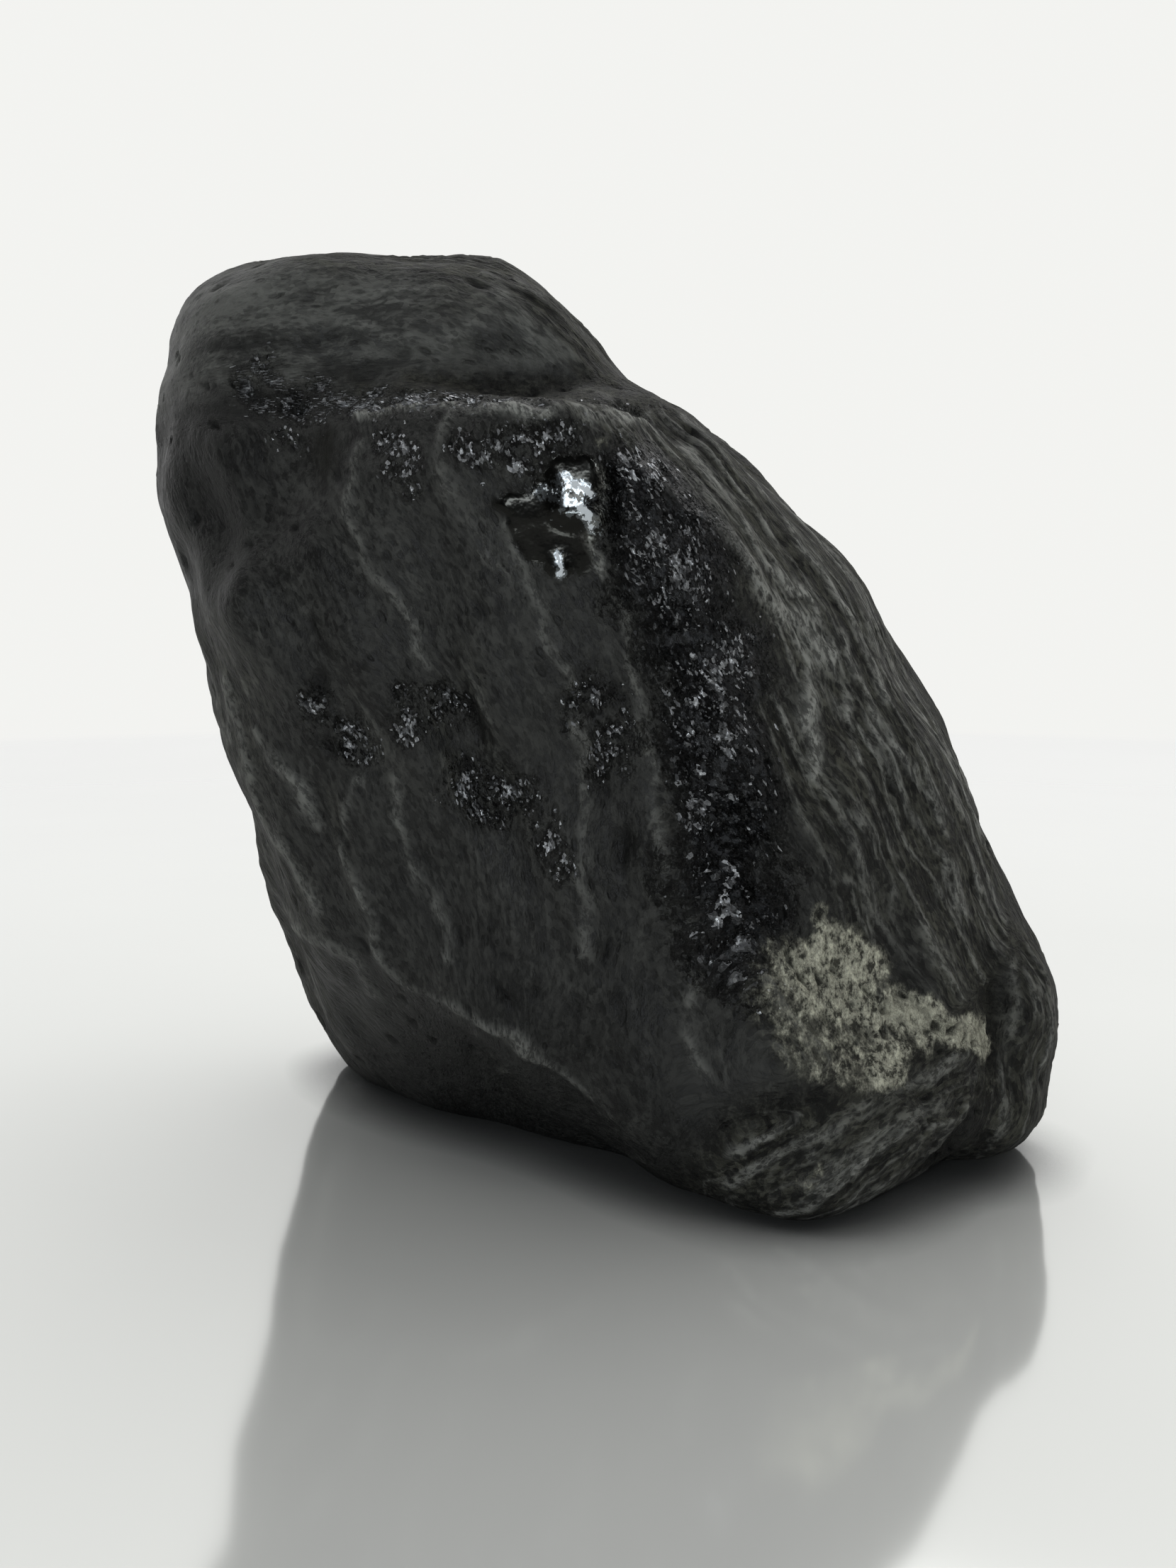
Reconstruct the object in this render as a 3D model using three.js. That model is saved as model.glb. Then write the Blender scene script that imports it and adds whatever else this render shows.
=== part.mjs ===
// A palm-sized viewing stone: one leaning, water-worn boulder of dark foliated rock.
// Units are millimetres and +Z is up. The stone stands on its flat underside in the plane Z = 0.
// +X runs to the stone's right as its show side is looked at, and +Y runs away from the viewer.
// The origin is under the middle of the stone.
import * as THREE from "three";
import { ImprovedNoise } from "three/addons/math/ImprovedNoise.js";
import { mergeVertices } from "three/addons/utils/BufferGeometryUtils.js";

// Wear: how far water has rounded the edges between a lump's facets.
const BODY_ROUNDING = 1.1;
const TOE_ROUNDING = 1.1;
const HEAD_ROUNDING = 1.6;
const HEEL_ROUNDING = 1.3;

// How softly each lump runs into what it grows from.
const TOE_BLEND = 2;
const NECK_BLEND = 4;
const HEEL_BLEND = 2.5;

// Relief that foliation and weather leave on the lumps.
const STREAK_HEIGHT = 0.9; // height of the streaks that follow the foliation
const STREAK_WIDTH = 4.4; // spacing across the streaks
const STREAK_LENGTH = 16; // spacing along them
const STREAK_DEPTH = 8; // spacing into the stone
const STREAK_LEAN = 28; // degrees from upright that the foliation leans on the body
const HEAD_CALM = 0.6; // share of the streaks' height that the head lacks
const HEAD_START = 62; // between these two heights the streaks turn level
const HEAD_FULL = 70;
const SWELL_HEIGHT = 1.1; // height of the broad swells
const SWELL_WIDTH = 11; // spacing of the swells
const SWELL_SHIFT = 3.1; // keeps the swells from lying under the streaks

// Facets of the mesh.
const COARSE_DETAIL = 4; // an icosahedron's edges are first cut into this many plus one
const CUTS = 2; // and then every triangle is cut into four this many times
const COARSE_ROUNDS = 200; // rounds that even out the coarse triangles
const CUT_ROUNDS = 16; // rounds after each cut
const SMOOTH_ROUNDS = 20; // rounds on the bare lumps
const SKIN_ROUNDS = 10; // rounds on the finished skin
const LAST_SETTLES = 6; // steps straight to the skin at the end
const PULL = 0.5; // share of the way that a point is pulled in a round
const STRIDE = 1; // the farthest that a point is settled at once
const FEELER = 0.01; // distance over which the slope of the skin is felt
const MERGE = 1e-5; // corners nearer to each other than this are one

const CORE = new THREE.Vector3(2, 1, 31); // a point from which the bare lumps can all be seen
const REACH = 80; // farther from the core than any part of the skin
const SOLVE_STEPS = 18; // halvings of REACH that find a point of the skin

// A facet is a flat that the skin follows: a point on it, and the direction that it faces.
// Azimuth is counted from +X towards +Y, elevation up from level, both in degrees.
const facet = (x, y, z, azimuth, elevation) => {
  const turn = THREE.MathUtils.degToRad(azimuth);
  const rise = THREE.MathUtils.degToRad(elevation);
  const level = Math.cos(rise);
  const facing = new THREE.Vector3(level * Math.cos(turn), level * Math.sin(turn), Math.sin(rise));
  return { facing, offset: facing.dot(new THREE.Vector3(x, y, z)) };
};

const BODY_FACETS = {
  showFaceLeft: facet(-32, -11, 40, -138, -4),
  showFaceUpper: facet(-16, -19.5, 42, -110, -6),
  showFaceMiddle: facet(0, -24, 38, -103, -6),
  showFaceLower: facet(0, -12.2, 0, -118, -34),
  bellyLeft: facet(-18, -3, 0, -132, -40),
  toeFront: facet(22.3, -26.2, 6, -56, -18),
  underHeel: facet(35, -17, 4, -42, -45),
  darkRidge: facet(14, -26, 36, -76, 6),
  ridgeToSlope: facet(20, -22, 42, -52, 16),
  slope: facet(22.5, -17.5, 45, -42, 24),
  slopeFoot: facet(31.5, -22.5, 20, -60, 16),
  shoulderTop: facet(-3, -20, 65.4, -80, 82),
  shoulderLeft: facet(-30, -11, 58, -125, 25),
  shoulderRight: facet(7, -14, 64.9, -40, 52),
  slopeUpper: facet(14.3, -6, 61.5, -15, 46),
  slopeMiddle: facet(26.9, -10, 45.4, -13, 28),
  slopeLower: facet(36.6, -15, 30, -15, 18),
  leftUpper: facet(-40.5, -1, 54, 197, 2),
  leftMiddle: facet(-35.3, -3.5, 40, 197, -15),
  leftLower: facet(-31, -4, 18, 198, -16),
  leftFoot: facet(-27.9, -3.2, 5.5, 204, -36),
  leftBase: facet(-23.6, -3, 1.2, 216, -52),
  backLeft: facet(-36, 16.5, 55, 148, -8),
  backTop: facet(-10, 24, 58, 92, 34),
  back: facet(-4, 26, 38, 97, -6),
  backRight: facet(20, 16, 36, 48, 20),
  backLow: facet(0, 22, 8, 95, -34),
  backLowRight: facet(27, 4, 8, 30, -20),
  base: facet(0, 0, -2.2, 0, -90),
};

const TOE_FACETS = {
  front: facet(0, -23.8, 38, -107, 2),
  stepLeft: facet(-19.5, -16.4, 22, -146, -19),
  stepLow: facet(-3.2, -18.5, 7, -136, -40),
  tip: facet(14, -33, 3, -98, -8),
  underPatch: facet(20.8, -30.5, 7, -62, -12),
  patch: facet(20, -26.8, 17, -62, 22),
  end: facet(32.5, -21, 9, -25, 0),
  endUnder: facet(29.6, -17.6, 1, -45, -45),
  ridge: facet(13, -26.3, 30, -80, 14),
  slope: facet(27, -21, 22, -30, 44),
  rear: facet(20, -14, 20, 70, 30),
  base: facet(0, 0, -4, 0, -90),
};

const HEAD_FACETS = {
  brow: facet(-18, -11, 72, -94, 14),
  browLow: facet(-20, -12.5, 66, -89, -2),
  browLeft: facet(-37, -5.5, 68, -136, 2),
  browRight: facet(4, -11.5, 69, -52, 20),
  cheekLeft: facet(-42, 1, 68, 199, 4),
  jawLeft: facet(-42.2, 0, 60, 197, -12),
  crownLeft: facet(-41.2, 3, 77.6, 206, 36),
  crown: facet(-20, 6, 82.6, -88, 79),
  crownCorner: facet(-32.6, -5.3, 79.5, 225, 60),
  crownRight: facet(-4.8, 5, 81.6, -22, 57),
  slopeRight: facet(0.2, 0, 74.4, -12, 34),
  back: facet(-18, 21, 70, 95, 12),
  backLeft: facet(-36.5, 16.5, 55, 148, -8),
  backRight: facet(-6, 13, 74, 45, 35),
  buried: facet(-20, 6, 56, 0, -90),
};

const HEEL_FACETS = {
  outer: facet(39.3, -20, 11, -17, 18),
  outerLow: facet(40.9, -20, 8.5, -24, -14),
  under: facet(37.6, -20, 3.8, -40, -42),
  bottom: facet(33, -18, 1.2, -68, -62),
  front: facet(35.6, -21.4, 10, -56, -2),
  top: facet(36.4, -19, 17.7, -36, 48),
  back: facet(36, -6, 14, 55, 0),
  backTop: facet(33, -8, 20, 60, 40),
  inner: facet(33.5, -19.5, 11, -115, 0),
  buried: facet(18, -8, 10, 180, 0),
  base: facet(30, -10, -1.5, 0, -90),
};

// A point's signed depth under the rounded skin that the facets enclose: below zero is inside.
function roundedFlats(facets, rounding) {
  const list = Object.values(facets);
  return (p) => {
    let nearest = -Infinity;
    for (const { facing, offset } of list) nearest = Math.max(nearest, facing.dot(p) - offset);
    let sum = 0;
    for (const { facing, offset } of list) {
      sum += Math.exp((facing.dot(p) - offset - nearest) / rounding);
    }
    return nearest + rounding * Math.log(sum);
  };
}

function softUnion(a, b, blend) {
  const overlap = Math.max(blend - Math.abs(a - b), 0);
  return Math.min(a, b) - (overlap * overlap) / (4 * blend);
}

const body = roundedFlats(BODY_FACETS, BODY_ROUNDING);
const toe = roundedFlats(TOE_FACETS, TOE_ROUNDING);
const head = roundedFlats(HEAD_FACETS, HEAD_ROUNDING);
const heel = roundedFlats(HEEL_FACETS, HEEL_ROUNDING);

function lumps(p) {
  let depth = softUnion(body(p), toe(p), TOE_BLEND);
  depth = softUnion(depth, head(p), NECK_BLEND);
  return softUnion(depth, heel(p), HEEL_BLEND);
}

const SHOW = -1; // the side that is looked at
const BACK = 1;

// The point of the bare lumps that is met at a place across and up, coming in from one side.
function onSide(side, [x, z]) {
  const p = new THREE.Vector3();
  let inside = 0;
  let outside = REACH;
  for (let step = 0; step < SOLVE_STEPS; step++) {
    const middle = (inside + outside) / 2;
    p.set(x, side * middle, z);
    if (lumps(p) < 0) inside = middle;
    else outside = middle;
  }
  return p;
}

// A rib that runs over the skin along places given across and up. A negative height cuts a groove.
function rib(side, width, height, places) {
  const points = places.map((place) => onSide(side, place));
  const spans = points.slice(1).map((point, i) => new THREE.Line3(points[i], point));
  const foot = new THREE.Vector3();
  return (p) => {
    let distance = Infinity;
    for (const span of spans) {
      span.closestPointToPoint(p, true, foot);
      distance = Math.min(distance, foot.distanceTo(p));
    }
    return height * Math.exp(-((distance / width) ** 2));
  };
}

// A round hollow about one place. A negative depth makes a knob.
function hollow(side, radius, depth, place) {
  const middle = onSide(side, place);
  return (p) => -depth * Math.exp(-((middle.distanceTo(p) / radius) ** 2));
}

const MARKS = {
  shoulderRim: rib(SHOW, 1.6, 0.7, [[-24, 64.4], [-18, 64.2], [-12, 64], [-3.5, 63.8], [4, 63.2]]),
  recessOverRim: rib(SHOW, 3, -0.6, [[-30, 67.5], [-21, 68], [-11, 68], [0, 67.5]]),
  browLine: rib(SHOW, 1.8, 0.3, [[-33, 71.5], [-25, 73.2], [-18, 72.2], [-11, 73], [-3, 71.5]]),
  veinMiddle: rib(SHOW, 1.5, 0.5, [[-7, 63], [-11, 60], [-10, 54], [-6, 48], [-1, 40], [-1, 22], [7, 8]]),
  veinLeft: rib(SHOW, 1.5, 0.5, [[-21, 57], [-16, 50], [-14, 43], [-13, 34], [-6, 24]]),
  veinRight: rib(SHOW, 1.4, 0.5, [[2.5, 46], [3.5, 40], [5, 30], [8, 18]]),
  wornEdge: rib(SHOW, 1.6, 0.7, [[2, 62], [7.5, 56], [12, 51], [15, 46], [18, 40], [22, 30]]),
  slopeRibUpper: rib(SHOW, 1.6, 0.5, [[9, 62], [17, 53], [24, 41], [29, 29]]),
  slopeRibOuter: rib(SHOW, 1.6, 0.5, [[14, 58], [22, 48], [29, 34]]),
  leftEdge: rib(SHOW, 1.5, 0.6, [[-37, 50], [-34, 38], [-31, 26], [-26, 16]]),
  step: rib(SHOW, 1.5, 0.6, [[-21, 33], [-20.5, 26], [-17, 18], [-9, 13], [1, 3]]),
  heelCrease: rib(SHOW, 1.5, -0.9, [[33.5, 18], [34, 11], [32.5, 5], [30, 0]]),
  patchLip: rib(SHOW, 1.6, 0.5, [[14, 9], [22, 12], [31, 15]]),
  pool: hollow(SHOW, 3.6, 1.3, [-2.5, 55.3]),
  wetHollowLeft: hollow(SHOW, 3.5, 1, [-21.5, 39]),
  wetHollowMiddle: hollow(SHOW, 3.2, 0.9, [-12, 40.5]),
  wetHollowLow: hollow(SHOW, 3.4, 0.9, [-7.5, 33.5]),
  wetHollowRight: hollow(SHOW, 2.8, 0.7, [0.8, 39.5]),
  ridgeHollowUpper: hollow(SHOW, 3, 0.8, [8, 47]),
  ridgeHollowLower: hollow(SHOW, 3, 0.8, [11, 29]),
  cheekNotch: hollow(SHOW, 5, 1.3, [-41, 64.5]),
  jawKnob: hollow(SHOW, 5, -0.9, [-40, 54]),
  backRibLeft: rib(BACK, 2, 0.8, [[-34, 66], [-22, 46], [-10, 24], [-4, 8]]),
  backRibRight: rib(BACK, 2, 0.8, [[-18, 76], [-4, 54], [8, 34], [20, 12]]),
  backGroove: rib(BACK, 2, -1, [[-27, 70], [-14, 50], [0, 26]]),
  backHollow: hollow(BACK, 9, 1.6, [14, 38]),
};

const markList = Object.values(MARKS);
const noise = new ImprovedNoise();
const leanAcross = Math.cos(THREE.MathUtils.degToRad(STREAK_LEAN));
const leanAlong = Math.sin(THREE.MathUtils.degToRad(STREAK_LEAN));

// How far the skin stands above the bare lumps at a point.
function relief(p) {
  let height = 0;
  for (const mark of markList) height += mark(p);
  const onHead = THREE.MathUtils.smoothstep(p.z, HEAD_START, HEAD_FULL);
  const across = THREE.MathUtils.lerp(p.x * leanAcross + p.z * leanAlong, p.z, onHead);
  const along = THREE.MathUtils.lerp(p.z * leanAcross - p.x * leanAlong, p.x, onHead);
  const streak = noise.noise(across / STREAK_WIDTH, along / STREAK_LENGTH, p.y / STREAK_DEPTH);
  height += STREAK_HEIGHT * (1 - HEAD_CALM * onHead) * streak;
  const swell = noise.noise(p.x / SWELL_WIDTH + SWELL_SHIFT, p.y / SWELL_WIDTH, p.z / SWELL_WIDTH);
  return height + SWELL_HEIGHT * swell;
}

// Depths under the skin without and with its relief, cut off level where the stone stands.
const bareDepth = (p) => Math.max(lumps(p), -p.z);
const skinDepth = (p) => Math.max(lumps(p) - relief(p), -p.z);

const probe = new THREE.Vector3();
const slope = new THREE.Vector3();

// Moves a point straight towards the skin that a depth function describes.
function settle(p, depthAt) {
  const depth = depthAt(p);
  for (const axis of ["x", "y", "z"]) {
    probe.copy(p);
    probe[axis] += FEELER;
    slope[axis] = (depthAt(probe) - depth) / FEELER;
  }
  const step = THREE.MathUtils.clamp(depth, -STRIDE, STRIDE);
  p.addScaledVector(slope, -step / slope.lengthSq());
}

// Moves a point along its line from the core until it lies on the bare lumps.
function seat(p) {
  const direction = p.clone().sub(CORE).normalize();
  let near = 0;
  let far = REACH;
  for (let step = 0; step < SOLVE_STEPS; step++) {
    const middle = (near + far) / 2;
    p.copy(direction).multiplyScalar(middle).add(CORE);
    if (bareDepth(p) < 0) near = middle;
    else far = middle;
  }
}

// Pulls every point towards the middle of the triangles around it, the larger ones first.
function evenOut(points, triangles) {
  const pull = points.map(() => new THREE.Vector3());
  const weight = points.map(() => 0);
  const triangle = new THREE.Triangle();
  const middle = new THREE.Vector3();
  for (const corners of triangles) {
    triangle.set(...corners.map((corner) => points[corner]));
    triangle.getMidpoint(middle);
    const size = Math.sqrt(triangle.getArea());
    for (const corner of corners) {
      pull[corner].addScaledVector(middle, size);
      weight[corner] += size;
    }
  }
  points.forEach((p, i) => p.lerp(pull[i].divideScalar(weight[i]), PULL));
}

// Cuts every triangle into four and returns them; the new points are added to the list.
function divide(points, triangles) {
  const middles = new Map();
  const middleOf = (a, b) => {
    const edge = `${Math.min(a, b)} ${Math.max(a, b)}`;
    if (!middles.has(edge)) {
      middles.set(edge, points.length);
      points.push(points[a].clone().lerp(points[b], 0.5));
    }
    return middles.get(edge);
  };
  return triangles.flatMap(([a, b, c]) => {
    const ab = middleOf(a, b);
    const bc = middleOf(b, c);
    const ca = middleOf(c, a);
    return [[a, ab, ca], [b, bc, ab], [c, ca, bc], [ab, bc, ca]];
  });
}

// The whole skin as one closed mesh, moved so that the origin is under its middle.
function stoneGeometry() {
  const ball = new THREE.IcosahedronGeometry(1, COARSE_DETAIL);
  ball.deleteAttribute("normal");
  ball.deleteAttribute("uv");
  const coarse = mergeVertices(ball, MERGE);
  const start = coarse.getAttribute("position");
  const corners = Array.from(coarse.getIndex().array);
  const points = [];
  for (let i = 0; i < start.count; i++) {
    points.push(new THREE.Vector3().fromBufferAttribute(start, i).add(CORE));
  }
  let triangles = [];
  for (let i = 0; i < corners.length; i += 3) triangles.push(corners.slice(i, i + 3));
  const relax = (rounds, place) => {
    for (let round = 0; round < rounds; round++) {
      evenOut(points, triangles);
      points.forEach((p) => place(p));
    }
  };
  points.forEach((p) => seat(p));
  relax(COARSE_ROUNDS, seat);
  for (let cut = 0; cut < CUTS; cut++) {
    triangles = divide(points, triangles);
    relax(CUT_ROUNDS, seat);
  }
  relax(SMOOTH_ROUNDS, (p) => settle(p, bareDepth));
  relax(SKIN_ROUNDS, (p) => settle(p, skinDepth));
  for (let round = 0; round < LAST_SETTLES; round++) points.forEach((p) => settle(p, skinDepth));
  const geometry = new THREE.BufferGeometry().setFromPoints(points);
  geometry.setIndex(triangles.flat());
  geometry.computeBoundingBox();
  const middle = geometry.boundingBox.getCenter(new THREE.Vector3());
  geometry.translate(-middle.x, -middle.y, 0);
  return geometry;
}

const stone = new THREE.Mesh(
  stoneGeometry(),
  new THREE.MeshStandardMaterial({ color: 0x2b2d2c, roughness: 0.45, metalness: 0 }),
);
stone.name = "stone";

const viewingStone = new THREE.Group();
viewingStone.add(stone);
export default viewingStone;
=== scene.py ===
"""Visual model of a palm-sized viewing stone, dressed around its CAD solid.

Lengths are millimetres wherever a name or a comment doesn't say metres.
+X runs to the stone's right as its show side is looked at, +Y away from the viewer, +Z up.
"""

import logging
import math
from collections.abc import Callable, Sequence
from dataclasses import dataclass, field
from enum import Enum
from functools import partial, reduce

import bmesh
import bpy
import numpy as np
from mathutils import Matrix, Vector, noise
from mathutils.bvhtree import BVHTree


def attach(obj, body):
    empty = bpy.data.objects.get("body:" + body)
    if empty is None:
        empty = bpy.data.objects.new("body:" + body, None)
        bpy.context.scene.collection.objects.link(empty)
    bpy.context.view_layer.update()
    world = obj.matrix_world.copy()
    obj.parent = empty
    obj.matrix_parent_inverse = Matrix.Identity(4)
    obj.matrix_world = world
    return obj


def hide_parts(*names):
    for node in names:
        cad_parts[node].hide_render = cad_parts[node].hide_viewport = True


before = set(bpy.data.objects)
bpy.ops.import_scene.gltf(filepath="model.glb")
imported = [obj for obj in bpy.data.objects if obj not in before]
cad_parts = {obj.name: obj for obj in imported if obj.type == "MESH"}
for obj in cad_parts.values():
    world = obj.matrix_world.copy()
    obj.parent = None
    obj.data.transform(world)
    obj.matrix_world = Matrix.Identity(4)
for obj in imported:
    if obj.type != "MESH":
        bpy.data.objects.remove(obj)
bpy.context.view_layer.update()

MM = 0.001  # metres in a millimetre

Colour = tuple[float, float, float, float]
Place = tuple[float, float]
Triple = tuple[float, float, float]
Span = tuple[float, ...]  # where a value starts and stops running and, if given, from and to what
Socket = bpy.types.NodeSocket
Number = Socket | float
Paint = Socket | Colour
Value = Socket | float | Sequence[float]
Shades = tuple[Colour, Colour]  # dark and light


class Tint(Enum):
    """The casts that the rock's greys take, as shares of red, green and blue."""

    NEUTRAL = (0.98, 1.0, 0.975)
    MOSS = (0.985, 1.0, 0.92)
    OLIVE = (1.0, 1.005, 0.80)
    BLUE = (0.93, 0.985, 1.08)
    ICE = (0.965, 0.995, 1.035)
    STRAW = (1.0, 0.99, 0.79)


def shade(level: float, tint: Tint = Tint.NEUTRAL) -> Colour:
    """Returns a linear grey of a level from 0 to 1 with a cast."""
    red, green, blue = tint.value
    return (level * red, level * green, level * blue, 1.0)


def smooth(values: np.ndarray, low: float, high: float) -> np.ndarray:
    """Returns 0 below low and 1 above high, with a smooth step between them."""
    share = np.clip((values - low) / (high - low), 0.0, 1.0)
    return share * share * (3 - 2 * share)


# ---------------------------------------------------------------------------------------------
# Noise and lines over the skin
# ---------------------------------------------------------------------------------------------


def wander(points: np.ndarray, size: float, shift: float = 0.0) -> np.ndarray:
    """Samples smooth noise, from about -1 to 1.

    Args:
        points: One row of three coordinates for each sample.
        size: Spacing of the noise's lattice, in the points' unit.
        shift: Moves the samples along the diagonal, for another pattern.

    Returns:
        One value for each point.
    """
    rows = (points / size + shift).tolist()
    return np.fromiter((noise.noise(row) for row in rows), float, len(rows))


def drawn_out(grain: np.ndarray, sizes: Triple, shift: float = 0.0) -> np.ndarray:
    """Samples smooth noise whose features have a size along each of the grain's axes."""
    return wander(grain / np.array(sizes), 1.0, shift)


def cells(points: np.ndarray, sizes: Triple) -> tuple[np.ndarray, np.ndarray, np.ndarray]:
    """Splits space into irregular cells.

    Args:
        points: One row of three coordinates for each sample.
        sizes: Mean widths of a cell along the three axes, in the points' unit.

    Returns:
        The distances to the nearest and to the second nearest cell's middle, in cell widths,
        and a random number from 0 to 1 that is the same all over a cell.
    """
    near = np.empty(len(points))
    second = np.empty(len(points))
    middles = np.empty((len(points), 3))
    for i, row in enumerate((points / np.array(sizes)).tolist()):
        distances, centres = noise.voronoi(row)
        near[i], second[i] = distances[0], distances[1]
        middles[i] = centres[0]
    mixed = np.sin(middles @ np.array([127.1, 311.7, 74.7])) * 43758.5
    return near, second, mixed - np.floor(mixed)


class Side(Enum):
    """The side from which a mark is laid on the skin, as the sign of Y there."""

    SHOW = -1.0
    BACK = 1.0


@dataclass(frozen=True)
class Trail:
    """A line over the skin, or a spot if it has one place.

    Attributes:
        places: Points that it follows, across and up.
        width: Distance at which its strength has fallen to a third.
        side: The side that it lies on.
    """

    places: tuple[Place, ...]
    width: float
    side: Side = Side.SHOW


def run(width: float, *places: Place, side: Side = Side.SHOW) -> Trail:
    """Returns a trail of a width through some places."""
    return Trail(places, width, side)


@dataclass(frozen=True)
class Lobe:
    """A swelling of the water film, thick at its foot and thinning out upwards.

    Attributes:
        foot: X and Z of the thick end's middle.
        half_width: Distance from the middle to the sides.
        rise: How far above its foot it has thinned out to nothing.
        height: Thickness at the foot.
        turn: How fast it gets thinner towards +X.
        lip: How fast it rises at its foot, as a share of its rise.
        nearer: Y below which it lies.
    """

    foot: Place
    half_width: float
    rise: float
    height: float
    turn: float = 0.1
    lip: float = 0.25
    nearer: float = -15.0

    def swell(self, points: np.ndarray) -> np.ndarray:
        """Works out the lobe's thickness.

        Args:
            points: Points of the skin.

        Returns:
            The thickness at each point.
        """
        aside = points[:, 0] - self.foot[0]
        above = points[:, 2] - self.foot[1]
        wedge = np.clip(1 - above / self.rise, 0.0, 1.0)
        profile = np.where(above > 0, wedge, np.exp(-((above / (self.lip * self.rise)) ** 2)))
        across = np.exp(-((aside / self.half_width) ** 6)) * (points[:, 1] < self.nearer)
        return (self.height - self.turn * aside) * profile * across


class Skin:
    """The stone's skin as arrays of points and normals, and distances over it."""

    far = 200.0  # Y from which a ray meets any part of the stone

    def __init__(self, mesh: bpy.types.Mesh) -> None:
        """Reads a mesh in metres.

        Args:
            mesh: The skin. It isn't kept.
        """
        count = len(mesh.vertices)
        flat = np.empty(count * 3, np.float32)
        mesh.vertices.foreach_get("co", flat)
        self.points = flat.reshape(-1, 3).astype(float) / MM
        normals = np.empty(count * 3, np.float32)
        mesh.vertex_normals.foreach_get("vector", normals)
        self.normals = normals.reshape(-1, 3).astype(float)
        faces = [tuple(face.vertices) for face in mesh.polygons]
        self.tree = BVHTree.FromPolygons([Vector(p) for p in self.points], faces)
        self.felt = self.points

    def unsettle(self, reach: float, size: float) -> None:
        """Makes every trail wander from its straight runs.

        Args:
            reach: How far it wanders.
            size: Length of its bends.
        """
        drift = [wander(self.points, size, shift) for shift in (20.0, 40.0, 60.0)]
        self.felt = self.points + reach * np.stack(drift, axis=1)

    def seat(self, place: Place, side: Side) -> np.ndarray:
        """Finds the point of the skin that is met at a place, coming in from a side.

        Args:
            place: The point's X and Z.
            side: The side to come in from.

        Returns:
            The point, or the nearest point of the skin if nothing is met.
        """
        start = Vector((place[0], side.value * self.far, place[1]))
        hit = self.tree.ray_cast(start, Vector((0.0, -side.value, 0.0)))[0]
        if hit is None:
            hit = self.tree.find_nearest(Vector((place[0], side.value * 10.0, place[1])))[0]
        return np.array(hit)

    def distance(self, trail: Trail) -> np.ndarray:
        """Measures from a trail.

        Args:
            trail: The line or spot.

        Returns:
            Every point's distance from it.
        """
        path = [self.seat(place, trail.side) for place in trail.places]
        if len(path) == 1:
            return np.linalg.norm(self.felt - path[0], axis=1)
        nearest = np.full(len(self.felt), np.inf)
        for start, end in zip(path, path[1:]):
            leg = end - start
            share = np.clip((self.felt - start) @ leg / (leg @ leg), 0.0, 1.0)
            foot = start + share[:, None] * leg
            nearest = np.minimum(nearest, np.linalg.norm(self.felt - foot, axis=1))
        return nearest

    def along(self, *trails: Trail) -> np.ndarray:
        """Returns how near each point is to the nearest of some trails, from 0 to 1."""
        strengths = [np.exp(-((self.distance(trail) / trail.width) ** 2)) for trail in trails]
        return np.max(strengths, axis=0)


# ---------------------------------------------------------------------------------------------
# The stone
# ---------------------------------------------------------------------------------------------


def ramp(values: np.ndarray, start: float, soft: float) -> np.ndarray:
    """Returns 0 before a start and the way past it after, with a soft bend between them."""
    past = values - start
    return (np.sqrt(past * past + soft * soft) + past) / 2


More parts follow.
